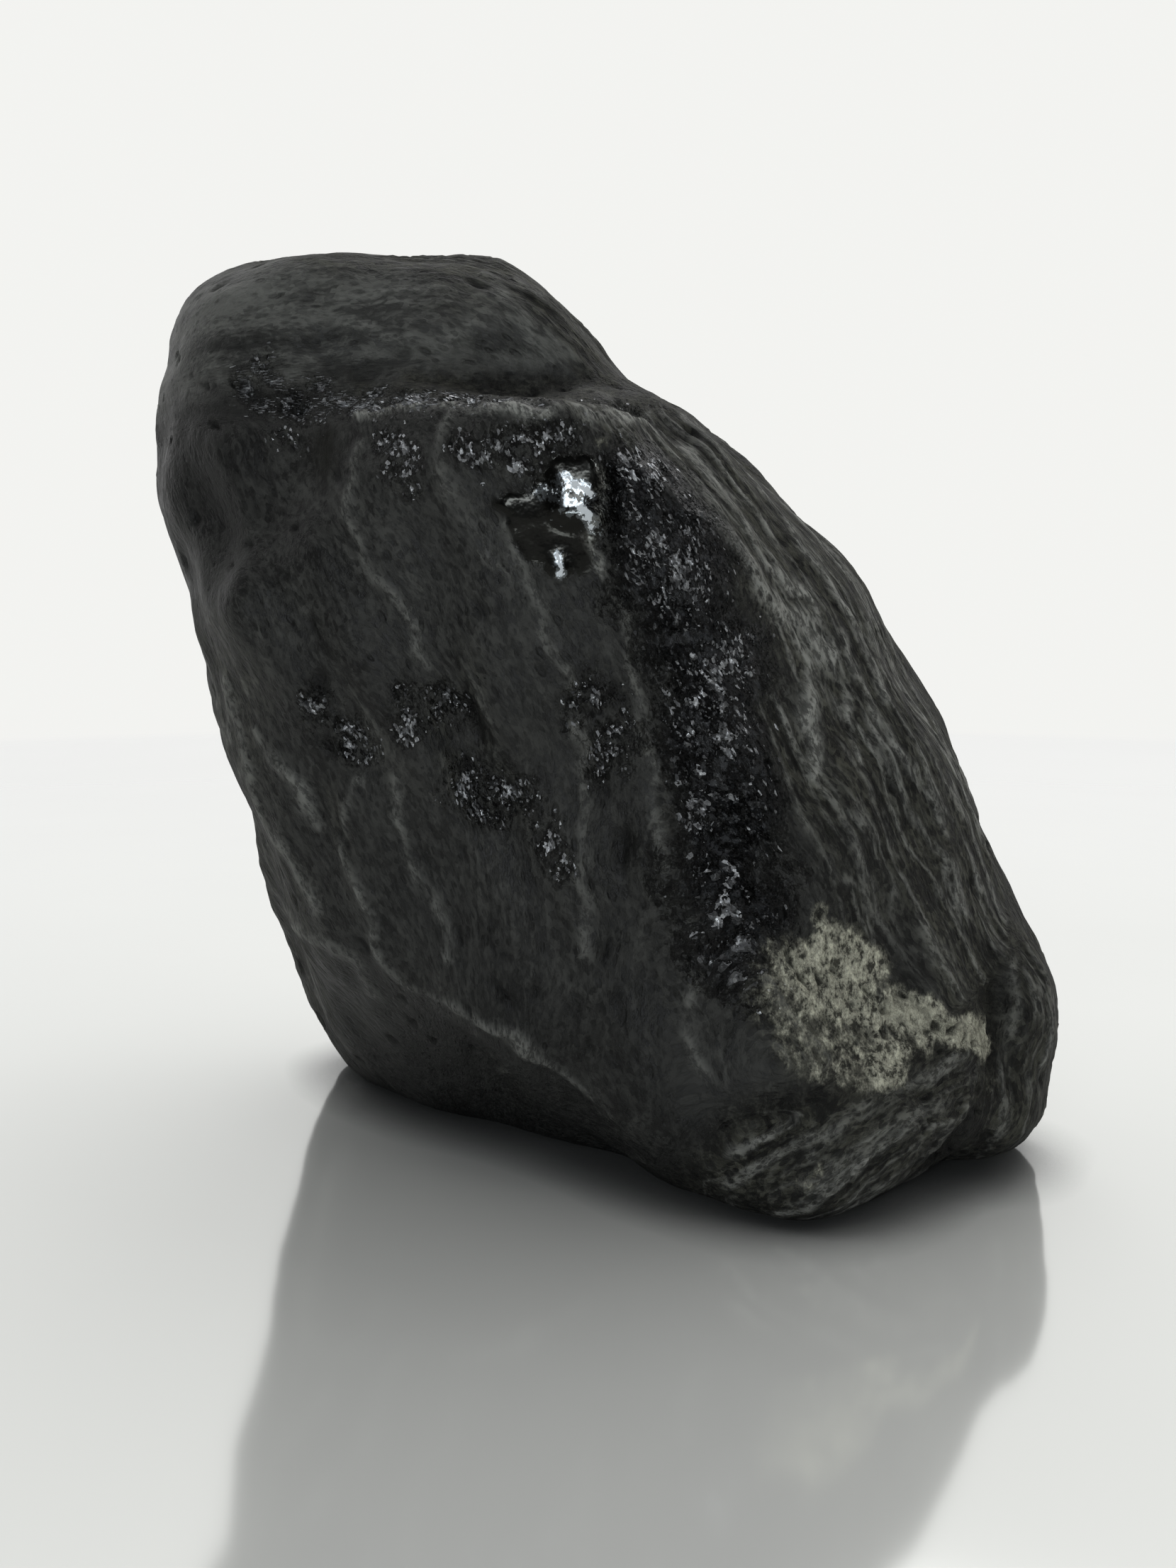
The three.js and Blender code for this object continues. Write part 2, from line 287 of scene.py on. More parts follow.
@dataclass(frozen=True)
class Foliation:
    """The rock's grain: thin leaves that lean on the body, lie level on the head and climb the toe."""

    knee: float = 36.0  # height above which the leaves on the face lean
    face_lean: float = 0.45
    left_edge: Place = (-2.0, -16.0)  # X between which the low leaves start to lean
    flank_start: float = 30.0
    flank_lean: float = 0.50
    flank_bend: float = 0.006
    flank_bend_start: float = 38.0
    flank_offset: float = 3.5
    dip: float = 0.2  # how fast the leaves slope away from the viewer
    turn: float = 0.4  # how fast they turn away from the viewer's line of sight
    knee_soft: float = 6.0  # how soft the bends at the knee are
    edge_foot: float = 9.0  # X of the edge between face and flank at flank_start's height
    edge_lean: float = 0.16
    edge_width: float = 5.0
    squeeze: float = 0.85
    rise_share: float = 0.9  # how much going up counts as going along the leaves
    side_share: float = 0.4
    head_from: float = 64.0
    head_to: float = 70.0
    head_droop: float = 0.85
    head_droop_start: float = -9.0
    head_middle: float = 66.0
    toe_climb: float = math.radians(31.0)
    toe_top: Span = (4.5, 8.5)  # heights between which the toe ends, where X is 0
    toe_top_climb: float = 0.28
    toe_inner: Span = (4.0, 9.0)
    toe_inner_lean: float = 0.5
    toe_outer: Span = (28.5, 31.0)
    toe_front: Span = (12.0, 18.0)
    heel_inner: Span = (28.5, 31.5)
    heel_top: Span = (20.0, 30.0)
    heel_lean: float = 0.35
    heel_turn: float = 0.7
    head_shift: float = 58.0  # along the grain; a pair is across and along it
    toe_shift: tuple[float, float] = (12.0, -14.0)
    heel_shift: tuple[float, float] = (2.0, -14.0)
    waver: float = 1.2

    def on_toe(self, points: np.ndarray) -> np.ndarray:
        """Finds the toe's front facet.

        Args:
            points: Points of the skin.

        Returns:
            How far each point belongs to it, from 0 to 1.
        """
        x, through, up = points.T
        low = 1 - smooth(up - self.toe_top_climb * x, *self.toe_top)
        within = smooth(x - self.toe_inner_lean * up, *self.toe_inner)
        within *= 1 - smooth(x - self.heel_lean * up, *self.toe_outer)
        return low * within * smooth(-through, *self.toe_front)

    def on_heel(self, points: np.ndarray) -> np.ndarray:
        """Returns how far each point belongs to the rounded heel, from 0 to 1."""
        x, _, up = points.T
        return smooth(x - self.heel_lean * up, *self.heel_inner) * (1 - smooth(up, *self.heel_top))

    def settled(self, points: np.ndarray) -> np.ndarray:
        """Finds where the grain runs one way.

        Args:
            points: Points of the skin.

        Returns:
            For each point 1, or down to 0 where the grain turns from one way to another.
        """
        level = smooth(points[:, 2], self.head_from, self.head_to)
        turns = np.array([self.on_toe(points), self.on_heel(points), level])
        return np.prod(np.clip(1 - 6 * turns * (1 - turns), 0.0, 1.0), axis=0)

    def grain(self, points: np.ndarray) -> np.ndarray:
        """Returns coordinates that follow the leaves.

        Args:
            points: Points of the skin.

        Returns:
            For each point, its place across the streaks, along them and through the stone.
        """
        x, through, up = points.T
        rise = up - self.flank_start
        leaning_left = smooth(-x, -self.left_edge[0], -self.left_edge[1])
        below, above = ramp(-up, -self.knee, self.knee_soft), ramp(up, self.knee, self.knee_soft)
        face = self.face_lean * (above - leaning_left * below)
        flank = self.flank_lean * rise + self.flank_bend * np.maximum(up - self.flank_bend_start, 0.0) ** 2
        flank -= self.flank_offset
        edge = self.edge_foot + self.edge_lean * (self.flank_start - up)
        on_flank = smooth(x, edge - self.edge_width, edge + self.edge_width)
        across = self.squeeze * (x + face * (1 - on_flank) + flank * on_flank)
        along = self.rise_share * up - self.side_share * x
        level = smooth(up, self.head_from, self.head_to)
        droop = self.head_droop * ramp(x, self.head_droop_start, 5.0)
        across += level * (up - self.head_middle + droop - across)
        along += level * (x + self.head_shift - along)
        toe = self.on_toe(points)
        cosine, sine = math.cos(self.toe_climb), math.sin(self.toe_climb)
        across += toe * (up * cosine - x * sine + self.toe_shift[0] - across)
        along += toe * (up * sine + x * cosine + self.toe_shift[1] - along)
        across += self.turn * through
        heel = self.on_heel(points)
        across += heel * (self.heel_turn * (x + through) + self.heel_shift[0] - across)
        along += heel * (self.rise_share * up + self.heel_shift[1] - along)
        sway = self.waver * wander(points, 9.0, 5.0) + 0.3 * self.waver * wander(points, 3.0, 9.0)
        return np.stack([across + sway, along, through - self.dip * up + 0.5 * sway], axis=1)

    def ribs(self, grain: np.ndarray, spacing: float, shift: float) -> np.ndarray:
        """Makes long parallel ribs along the grain.

        Args:
            grain: Coordinates from grain().
            spacing: Distance from one rib to the next.
            shift: Picks another pattern.

        Returns:
            For each point, from 0 between the ribs to 1 on a crest.
        """
        sway = 0.7 * drawn_out(grain, (3.5, 15.0, 4.5), shift)
        sway += 0.25 * drawn_out(grain, (1.4, 6.0, 1.8), shift + 3.0)
        crest = 0.5 + 0.5 * np.cos(math.tau * (grain[:, 0] / spacing + sway))
        kept = smooth(drawn_out(grain, (2.6, 13.0, 3.4), shift + 7.0), -0.3, 0.3)
        return crest**2.2 * kept


class Wear(Enum):
    """How a mark's line is interrupted."""

    WHOLE = 0
    BROKEN = 1
    FRAYED = 2


@dataclass(frozen=True)
class Mark:
    """A kind of light line that stands up from the rock.

    Attributes:
        light: How much it lightens the rock.
        rise: Its height.
        wear: How it is interrupted.
        trails: Where it runs.
    """

    light: float
    rise: float
    wear: Wear
    trails: tuple[Trail, ...]


@dataclass
class Stone:
    """The stone's skin: the CAD solid made smooth, then carved with foliation, pits and grain."""

    node: str = "stone"
    body: str = "root"
    slot: str = "stone"
    subdivisions: int = 2
    weld: float = 0.01
    foot: tuple[float, float] = (0.3, 2.6)  # heights between which the relief grows in

    foliation: Foliation = Foliation()
    rib_spacing: float = 2.1
    trail_reach: float = 0.8  # how far the trails wander from straight runs
    trail_bend: float = 2.6

    rims: Mark = Mark(
        light=1.60,
        rise=0.36,
        wear=Wear.WHOLE,
        trails=(
            run(0.5, (-18.3, 64.2), (-13.7, 64.4), (-8.7, 63.8), (-3.6, 63.3), (1.2, 62.9), (4.8, 63.2)),
        ),
    )
    worn_edges: Mark = Mark(
        light=0.90,
        rise=0.30,
        wear=Wear.WHOLE,
        trails=(
            run(
                0.62, (5.0, 58.6), (7.8, 56.0), (10.1, 54.6), (12.5, 52.3), (14.1, 49.8), (16.5, 47.2),
                (18.2, 44.5), (18.3, 40.2), (18.5, 35.8)
            ),
            run(1.0, (15.9, 48.8), (18.5, 46.8), (19.4, 44.5)),
        ),
    )
    soft_streaks: Mark = Mark(
        light=0.06,
        rise=0.10,
        wear=Wear.WHOLE,
        trails=(
            run(1.5, (-18.4, 56.7), (-15.8, 54.2), (-13.9, 52.3), (-13.0, 49.5)),
            run(1.3, (-10.0, 57.4), (-8.2, 55.1), (-5.3, 52.5), (-4.1, 49.8)),
            run(1.0, (-7.4, 29.0), (-6.9, 26.3), (-5.8, 23.2), (-3.1, 20.6), (-0.4, 18.0)),
            run(1.6, (8.6, 19.5), (8.8, 15.5)),
        ),
    )
    veins: Mark = Mark(
        light=0.34,
        rise=0.24,
        wear=Wear.BROKEN,
        trails=(
            run(
                0.46, (-10.4, 62.8), (-11.0, 61.2), (-10.8, 57.8), (-9.3, 55.2), (-7.7, 52.9), (-5.4, 50.6)
            ),
            run(
                0.46, (-18.1, 61.5), (-18.8, 57.7), (-18.0, 53.5), (-15.9, 50.8), (-13.8, 47.4),
                (-12.5, 43.9)
            ),
            run(0.42, (-5.4, 54.5), (-4.1, 50.6), (-2.7, 46.7), (-1.4, 44.0), (-0.3, 41.6)),
            run(0.48, (0.0, 39.0), (0.6, 33.8), (0.1, 31.4), (0.4, 27.8), (0.5, 23.9), (0.2, 21.0)),
            run(0.44, (2.9, 48.5), (3.7, 46.0), (4.7, 40.4), (5.5, 36.6), (5.9, 33.3), (6.6, 28.5)),
            run(0.44, (8.3, 25.0), (9.2, 21.1), (8.4, 16.7), (8.7, 13.9), (10.5, 11.3)),
            run(0.5, (-15.2, 34.4), (-15.1, 31.3), (-13.7, 26.3), (-11.8, 24.4), (-10.7, 19.6)),
        ),
    )
    steps: Mark = Mark(
        light=0.50,
        rise=0.34,
        wear=Wear.BROKEN,
        trails=(
            run(
                0.45, (-18.2, 34.2), (-20.1, 30.5), (-20.2, 28.1), (-19.1, 25.3), (-17.7, 22.0),
                (-17.5, 19.6), (-15.8, 17.3), (-13.4, 16.2), (-9.6, 15.2), (-5.9, 13.6), (-2.4, 11.4),
                (2.5, 7.0)
            ),
        ),
    )
    head_lines: Mark = Mark(
        light=0.28,
        rise=0.16,
        wear=Wear.BROKEN,
        trails=(
            run(
                0.6, (-24.2, 72.6), (-19.6, 72.6), (-15.6, 71.4), (-11.7, 71.0), (-8.1, 72.3), (-5.2, 73.0)
            ),
            run(0.9, (-8.7, 77.9), (-5.2, 72.6), (-2.0, 69.7), (2.4, 65.6)),
        ),
    )
    left_bands: Mark = Mark(
        light=0.45,
        rise=0.28,
        wear=Wear.BROKEN,
        trails=(
            run(0.6, (-28.7, 37.7), (-26.0, 35.2), (-24.2, 33.3), (-23.1, 30.1)),
            run(
                0.9, (-31.5, 42.0), (-29.3, 33.2), (-28.3, 29.6), (-26.6, 28.0), (-24.4, 24.6),
                (-23.1, 22.1)
            ),
            run(0.8, (-29.7, 19.0), (-24.9, 19.7), (-21.8, 19.1), (-19.4, 17.8), (-18.5, 15.0)),
        ),
    )
    flank_lines: Mark = Mark(
        light=1.00,
        rise=0.20,
        wear=Wear.BROKEN,
        trails=(
            run(0.45, (8.2, 62.2), (11.3, 57.8), (12.7, 55.1), (15.1, 51.4), (18.7, 49.4)),
            run(0.45, (14.1, 59.8), (16.9, 55.8), (19.4, 52.2), (21.5, 49.0), (23.7, 45.1), (25.3, 41.4)),
            run(0.45, (21.2, 46.2), (22.8, 42.8), (25.1, 38.7), (26.7, 35.5)),
            run(0.4, (13.6, 56.8), (16.2, 53.2), (19.0, 48.2), (21.4, 41.4), (22.6, 36.0)),
        ),
    )
    toe_lines: Mark = Mark(
        light=0.40,
        rise=0.15,
        wear=Wear.BROKEN,
        trails=(
            run(0.7, (17.5, 4.1), (20.8, 5.9), (24.8, 8.2), (28.7, 9.1)),
            run(0.5, (17.5, 6.4), (20.8, 9.3), (24.8, 11.2), (30.4, 12.6)),
            run(0.5, (36.2, 19.0), (36.5, 15.6), (35.8, 12.0)),
            run(0.5, (39.0, 16.8), (40.1, 13.1), (39.4, 9.3)),
        ),
    )
    back_veins: Mark = Mark(
        light=0.20,
        rise=0.30,
        wear=Wear.FRAYED,
        trails=(
            run(
                0.6, (-24.0, 56.0), (-19.0, 46.0), (-14.5, 36.0), (-12.0, 24.0), (-5.0, 12.0),
                side=Side.BACK
            ),
            run(0.55, (4.0, 56.0), (8.5, 44.0), (10.0, 30.0), (16.0, 17.0), (19.0, 8.0), side=Side.BACK),
            run(0.5, (-6.0, 62.0), (-8.5, 52.0), (-4.0, 40.0), (-2.5, 31.0), side=Side.BACK),
        ),
    )
    recesses: tuple[Trail, ...] = (
        run(1.15, (-29.0, 67.6), (-21.9, 66.0), (-14.8, 65.2), (-8.7, 64.9), (-3.1, 64.7), (4.2, 64.4)),
    )
    head_pits: tuple[Trail, ...] = (
        run(1.3, (-27.4, 68.4), (-25.8, 66.8), (-24.6, 65.0), (-24.4, 63.2)),
        run(1.0, (-22.4, 67.0), (-21.6, 65.2)),
        run(0.7, (-17.5, 66.4), (-14.5, 65.9), (-9.0, 65.6)),
    )
    head_shades: tuple[Trail, ...] = (
        run(1.1, (-31.2, 71.3), (-22.9, 71.9), (-18.3, 71.0), (-13.0, 69.6), (-6.0, 69.2), (-1.0, 67.6)),
        run(1.2, (-22.0, 69.4), (-12.0, 67.6), (-4.0, 67.0)),
        run(1.8, (3.0, 64.8), (8.5, 62.6)),
    )
    wet_ridge: Trail = run(
        4.4, (5.0, 56.5), (6.6, 53.5), (9.0, 46.0), (10.4, 39.0), (11.3, 30.5), (12.3, 23.5)
    )
    # Where the flakes cluster, painted light as glints as well as reflecting as metal
    glints: tuple[Trail, ...] = (
        run(2.3, (4.5, 54.2), (6.7, 52.2), (7.8, 49.2)),
        run(2.2, (9.9, 42.9), (11.2, 44.2)),
        run(2.0, (5.8, 42.1), (8.9, 40.4), (9.9, 39.4), (11.4, 38.4)),
        run(1.8, (7.9, 34.5), (9.0, 33.0)),
        run(1.9, (10.5, 27.0), (12.0, 22.5)),
        run(1.6, (3.4, 60.0), (6.5, 58.0)),
    )
    wet_hollows: tuple[Trail, ...] = (
        run(1.2, (-21.9, 39.9), (-19.4, 38.3), (-18.2, 36.9)),
        run(1.0, (-14.2, 38.6), (-13.4, 40.7)),
        run(1.1, (-11.2, 41.0), (-10.2, 40.6)),
        run(1.3, (-9.1, 33.6), (-7.2, 33.0), (-4.7, 33.3)),
        run(1.3, (0.8, 41.0), (2.1, 39.2), (2.2, 36.6)),
        run(1.2, (-15.0, 60.8), (-13.4, 59.0)),
        run(1.1, (-8.6, 60.9), (-4.6, 60.4), (0.4, 60.9)),
        run(1.8, (13.0, 20.0), (11.6, 22.5)),
        run(0.8, (-2.4, 30.5), (-1.6, 27.8)),
    )
    # Hollows sunk into the rock and painted black as shade
    black_hollows: tuple[Trail, ...] = (
        run(0.9, (-22.3, 42.8), (-21.9, 40.9)),
        run(0.6, (-8.7, 40.4), (-8.2, 38.4)),
        run(0.7, (3.2, 30.6), (3.5, 27.9)),
        run(0.5, (2.1, 58.4), (2.4, 56.0), (2.3, 53.2)),
        run(0.9, (-11.0, 50.0), (-9.0, 46.5), side=Side.BACK),
        run(0.7, (3.0, 24.0), (5.5, 19.0), side=Side.BACK),
        run(0.45, (-6.8, 24.0), (-6.6, 22.9)),
        run(0.35, (-7.2, 18.7), (-5.9, 16.6)),
        run(0.4, (1.0, 19.6), (1.9, 21.9)),
    )
    film: tuple[Trail, ...] = (
        run(0.9, (-5.4, 56.6), (-3.0, 56.6)),
        run(1.5, (-2.0, 57.5), (0.3, 58.3)),
        run(2.1, (-3.0, 54.3), (-0.2, 54.2)),
        run(1.5, (-1.4, 52.4), (-0.4, 52.6)),
    )
    film_edge: float = 0.45
    film_base: float = 0.1  # its thickness at the foot
    film_foot: float = 50.8
    film_overhang: float = 0.12  # how fast the film thickens upwards from its foot
    film_bulge: float = 4.4  # how far up it goes on thickening
    film_taper: float = 0.06  # how fast it gets thinner again above
    lobes: tuple[Lobe, ...] = (Lobe((0.1, 55.8), 2.2, 4.0, 0.70), Lobe((-1.3, 51.2), 0.75, 2.3, 0.22))
    # Painted highlight: these trails and the duller one below set where light colours on the film stand in
    # for a window's reflection
    painted_highlights: tuple[Trail, ...] = (
        run(0.56, (-0.9, 58.0), (0.7, 57.6), (1.0, 56.6)),
        run(0.5, (0.0, 55.9), (1.0, 55.2), (1.3, 54.5)),
        run(0.36, (-1.7, 52.2), (-1.4, 51.0)),
    )
    dull_painted_highlight: Trail = run(1.1, (-2.8, 57.4), (-1.4, 56.6), (-0.6, 55.8))
    dull_painted_highlight_share: float = 0.62
    # Painted highlight: a light line along the film's right edge, where the meniscus would catch the light
    meniscus_highlight_trail: Trail = run(0.25, (1.6, 59.2), (1.75, 56.5), (1.2, 54.2), (1.5, 51.4))
    pale_patch: tuple[Trail, ...] = (
        run(0.9, (18.9, 24.4), (19.4, 22.8)),
        run(1.9, (16.6, 20.4), (19.0, 21.3), (22.4, 19.8)),
        run(2.0, (17.8, 18.3), (22.0, 17.8)),
        run(1.3, (23.0, 17.2), (23.8, 14.8), (24.4, 12.6)),
        run(1.3, (24.5, 17.3), (27.0, 15.8), (30.5, 14.6), (33.2, 13.4)),
    )
    tail_boost: float = 1.3  # of the patch's last trail
    pale_field: Trail = run(3.4, (16.5, 19.0), (18.5, 15.5), (22.0, 14.0))
    pale_specks: tuple[Trail, ...] = (
        run(0.8, (17.0, 4.3), (18.4, 5.2)),
        run(1.0, (34.4, 9.2)),
        run(0.8, (1.8, 60.9)),
        run(2.2, (11.0, 31.0), (14.0, 26.0), (14.5, 22.0), side=Side.BACK),
    )
    crease: Trail = run(0.9, (34.2, 16.2), (34.9, 12.4), (33.6, 8.6), (30.9, 5.8), (29.0, 2.9))
    olive_spot: Trail = run(1.5, (-21.4, 62.6), (-21.0, 61.0))

    # Spans over which something sets in, in millimetres or as a part of a normal
    head_span: Span = (65.5, 69.5)
    crown_span: Span = (70.0, 82.0)
    calm_span: Span = (64.0, 72.0)
    away_span: Span = (-0.25, 0.35)
    seam_right_span: Span = (-12.0, -4.0)
    dry_way: tuple[float, float] = (0.80, 0.60)  # rightwards and upwards
    dry_span: Span = (0.10, 0.60)
    left_side_span: Span = (0.45, 0.85)
    left_side_top: Span = (42.0, 52.0)
    low_face_top: Span = (6.0, 26.0)
    low_face_front: Span = (0.1, 0.6)
    low_face_right: Span = (4.0, 14.0)
    left_slope_span: Span = (24.0, 32.0)
    left_slope_foot: Span = (50.0, 58.0)
    left_slope_top: Span = (64.0, 68.0)
    under_span: Span = (0.15, 0.7)
    # Painted shade: the low face, the left slope under the head, the underside and the brow are painted
    # darker where shade falls
    painted_shade_shares: tuple[float, ...] = (0.3, 0.6, 0.7, 0.6)  # of low face, left slope, underside and brow
    dry_shares: tuple[float, ...] = (1.0, 0.6, 0.95, 1.0, 0.7)  # of flank, left side, toe, heel and stain

    # Heights and depths; of a pair, the second is added where the rock is dry
    recess_depth: float = 0.75
    head_pit_depth: float = 0.35
    hollow_depth: float = 0.15
    crease_depth: float = 0.6
    black_depth: float = 0.6
    brow_depth: float = 0.2
    wave_height: float = 0.35
    head_calm: float = 0.15  # how much lower the waves are on the head
    dry_calm: float = 0.18
    rib_height: tuple[float, float] = (0.05, 0.20)
    rope_height: tuple[float, float] = (0.12, 0.08)
    crumb_height: tuple[float, float] = (0.06, 0.05)
    chunk_height: float = 0.16
    wet_wave_height: float = 0.12
    pit_depth: float = 0.36
    pit_share: float = 0.34
    pocket_depth: float = 0.6
    wet_pocket_depth: float = 0.12
    pocket_share: float = 0.55
    sugar_height: float = 0.22

    masks: dict[str, np.ndarray] = field(default_factory=dict)

    def build(self, material: bpy.types.Material) -> bpy.types.Object:
        """Makes the finished stone.

        Args:
            material: The rock's material.

        Returns:
            The piece, riding on the CAD body in place of the CAD node.
        """
        mesh = self.refined_mesh()
        self.carve(mesh, self.broad_relief)
        self.carve(mesh, self.fine_relief)
        for name, values in self.masks.items():
            mesh.attributes.new(name, "FLOAT", "POINT").data.foreach_set("value", values.astype(np.float32))
        grain = mesh.attributes.new("grain", "FLOAT_VECTOR", "POINT")
        grain.data.foreach_set("vector", self.foliation.grain(Skin(mesh).points).astype(np.float32).ravel())
        for polygon in mesh.polygons:
            polygon.use_smooth = True
        mesh.materials.append(material)
        piece = bpy.data.objects.new("weathered_stone", mesh)
        bpy.context.scene.collection.objects.link(piece)
        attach(piece, self.body)
        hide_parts(self.node)
        return piece

    def refined_mesh(self) -> bpy.types.Mesh:
        """Starts the skin.

        Returns:
            The CAD node's mesh with its corners joined, divided and made smooth.
        """
        cad = bmesh.new()
        cad.from_mesh(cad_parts[self.node].data)
        bmesh.ops.remove_doubles(cad, verts=cad.verts, dist=self.weld * MM)
        draft = bpy.data.meshes.new("draft")
        cad.to_mesh(draft)
        cad.free()
        holder = bpy.data.objects.new("draft", draft)
        bpy.context.scene.collection.objects.link(holder)
        divide = holder.modifiers.new("Divide", "SUBSURF")
        divide.levels = self.subdivisions
        graph = bpy.context.evaluated_depsgraph_get()
        mesh = bpy.data.meshes.new_from_object(holder.evaluated_get(graph))
        mesh.name = "weathered_stone"
        bpy.data.objects.remove(holder)
        bpy.data.meshes.remove(draft)
        mesh.materials.clear()
        for attribute in [a for a in mesh.attributes if not a.is_required and not a.is_internal]:
            mesh.attributes.remove(attribute)
        return mesh

    def carve(self, mesh: bpy.types.Mesh, relief: Callable[[Skin], np.ndarray]) -> None:
        """Raises the skin along its normals.

        Args:
            mesh: The mesh to change.
            relief: Takes the skin and returns each point's height over it.
        """
        skin = Skin(mesh)
        height = relief(skin) * smooth(skin.points[:, 2], *self.foot)
        moved = (skin.points + skin.normals * height[:, None]) * MM
        moved[:, 2] = np.maximum(moved[:, 2], 0.0)
        mesh.vertices.foreach_set("co", moved.astype(np.float32).ravel())
        mesh.update()

    def broad_relief(self, skin: Skin) -> np.ndarray:
        """Works out the larger marks, and keeps the masks that follow them.

        Args:
            skin: The skin before it is carved.

        Returns:
            The marks' height at each point.
        """
        points = skin.points
        skin.unsettle(self.trail_reach, self.trail_bend)
        ragged = wander(points, 4.0, 2.0)
        fray = wander(points, 1.7, 12.0)
        torn = [
            1 - smooth(skin.distance(trail) + 0.22 * fray, trail.width, trail.width + self.film_edge)
            for trail in self.film
        ]
        film = np.max(torn, axis=0)
        light, height = self.mark_lines(skin, fray)
        pitted = skin.along(*self.head_pits) * np.clip(0.7 + 1.6 * fray, 0.0, 1.2)
        recess = skin.along(*self.recesses)
        hollows = np.clip(1.4 * skin.along(*self.wet_hollows) * (0.6 + 1.5 * fray), 0.0, 1.0)
        crease, black = skin.along(self.crease), skin.along(*self.black_hollows)
        brow = skin.along(*self.head_shades) * np.clip(0.7 + 1.1 * ragged, 0.0, 1.2)
        painted_highlight = np.maximum(skin.along(*self.painted_highlights), self.dull_painted_highlight_share * skin.along(self.dull_painted_highlight))
        pale, stain = self.pale_places(skin, ragged, fray)

        bare = (1 - film) * (1 - np.minimum(1.4 * pale, 1.0))
        seams = np.clip(np.maximum(pitted, recess * (0.75 + 1.2 * fray)), 0.0, 1.0)
        wet, glint = self.wet_places(skin, ragged, fray, hollows, seams)
        dry = self.dry_places(skin, stain)
        away = smooth(skin.normals[:, 1], *self.away_span)
        below_crown = 1 - smooth(points[:, 2], *self.crown_span)
        self.masks = {
            "line": np.clip(light, 0.0, 1.0) * (1 - film),
            "wet": wet * bare,
            # where flakes with painted glints may show
            "glint": glint * bare * (1 - 0.3 * hollows),
            "film": film,
            "painted_highlight": painted_highlight * film,
            # painted highlight along the film's meniscus
            "meniscus_highlight": skin.along(self.meniscus_highlight_trail),
            "pale": pale,
            "dry": dry * (1 - wet * bare) * (1 - film),
            "head": smooth(points[:, 2] + ragged, *self.head_span) * (1 - 0.65 * away * below_crown),
            # painted shade of low, turned-away and overhung places
            "painted_shade": self.painted_shade_places(skin, brow),
            # painted shade in the black hollows and the heel's crease
            "black": np.maximum(black, 0.6 * crease),
            "olive": skin.along(self.olive_spot),
            "stain": stain,
            "heel": self.foliation.on_heel(points),
            "settled": self.foliation.settled(points) * (1 - 0.6 * away),
        }
        sunk = self.recess_depth * recess + self.head_pit_depth * pitted + self.hollow_depth * hollows
        height -= sunk * np.clip(0.7 + 1.2 * fray, 0.0, 1.4)
        height -= self.crease_depth * crease + self.black_depth * black + self.brow_depth * brow
        calm = self.head_calm * smooth(points[:, 2], *self.calm_span)
        waves = self.wave_height - calm - self.dry_calm * dry
        height += waves * wander(points, 6.5, 4.0) * (1 - film)
        return height + self.film_thickness(points) * film

    def marks(self) -> tuple[Mark, ...]:
        """Lists the light lines.

        Returns:
            Every kind of mark.
        """
        whole = (self.rims, self.worn_edges, self.soft_streaks)
        thin = (self.veins, self.steps, self.head_lines, self.left_bands, self.flank_lines, self.toe_lines)
        return (*whole, *thin, self.back_veins)

    def mark_lines(self, skin: Skin, fray: np.ndarray) -> tuple[np.ndarray, np.ndarray]:
        """Lays the light lines.

        Args:
            skin: The skin.
            fray: Fine noise over it.

        Returns:
            How much they lighten each point, and how high they stand there.
        """
        broken = np.clip(0.85 + 0.5 * wander(skin.points, 3.0, 7.0), 0.2, 1.2)
        wears = {Wear.WHOLE: 1.0, Wear.BROKEN: broken, Wear.FRAYED: broken * np.clip(0.9 + fray, 0.3, 1.2)}
        light = height = np.zeros(len(skin.points))
        for mark in self.marks():
            strength = skin.along(*mark.trails) * wears[mark.wear]
            light = light + mark.light * strength
            height = height + mark.rise * strength
        return light, height

    def wet_places(
        self, skin: Skin, ragged: np.ndarray, fray: np.ndarray, hollows: np.ndarray, seams: np.ndarray
    ) -> tuple[np.ndarray, np.ndarray]:
        """Finds where the rock is wet.

        Args:
            skin: The skin.
            ragged: Coarse noise over it.
            fray: Fine noise over it.
            hollows: How far each point lies in a wet hollow.
            seams: How far it lies in the recess or one of its pits.

        Returns:
            How wet each point is, and how likely it is to glint.
        """
        ridge = skin.distance(self.wet_ridge) + 2.4 * ragged + 0.8 * fray
        ridge = 1 - smooth(ridge, 0.35 * self.wet_ridge.width, 1.35 * self.wet_ridge.width)
        rightwards = smooth(skin.points[:, 0], *self.seam_right_span)
        in_seams = np.minimum(1.5 * seams, 1.0) * (1 - 0.6 * rightwards)
        glint = np.maximum.reduce([ridge * skin.along(*self.glints), hollows, in_seams])
        return np.maximum.reduce([ridge, 0.14 * hollows, 0.3 * seams]), glint

    def pale_places(self, skin: Skin, ragged: np.ndarray, fray: np.ndarray) -> tuple[np.ndarray, np.ndarray]:
        """Finds the pale sugary patch.

        Args:
            skin: The skin.
            ragged: Coarse noise over it.
            fray: Fine noise over it.

        Returns:
            How pale each point is, and how far it lies on the patch's stained surroundings.
        """
        spread = [skin.distance(t) + 0.9 * ragged + 0.7 * fray for t in self.pale_patch]
        patch = [1 - smooth(d, 0.3 * t.width, 1.9 * t.width) for d, t in zip(spread, self.pale_patch)]
        patch[-1] *= self.tail_boost
        stain = 1 - smooth(skin.distance(self.pale_field) + 1.6 * ragged, 1.2, 5.0)
        specks = skin.along(*self.pale_specks)
        return np.maximum.reduce([*patch, 0.45 * stain, 0.42 * specks]), stain

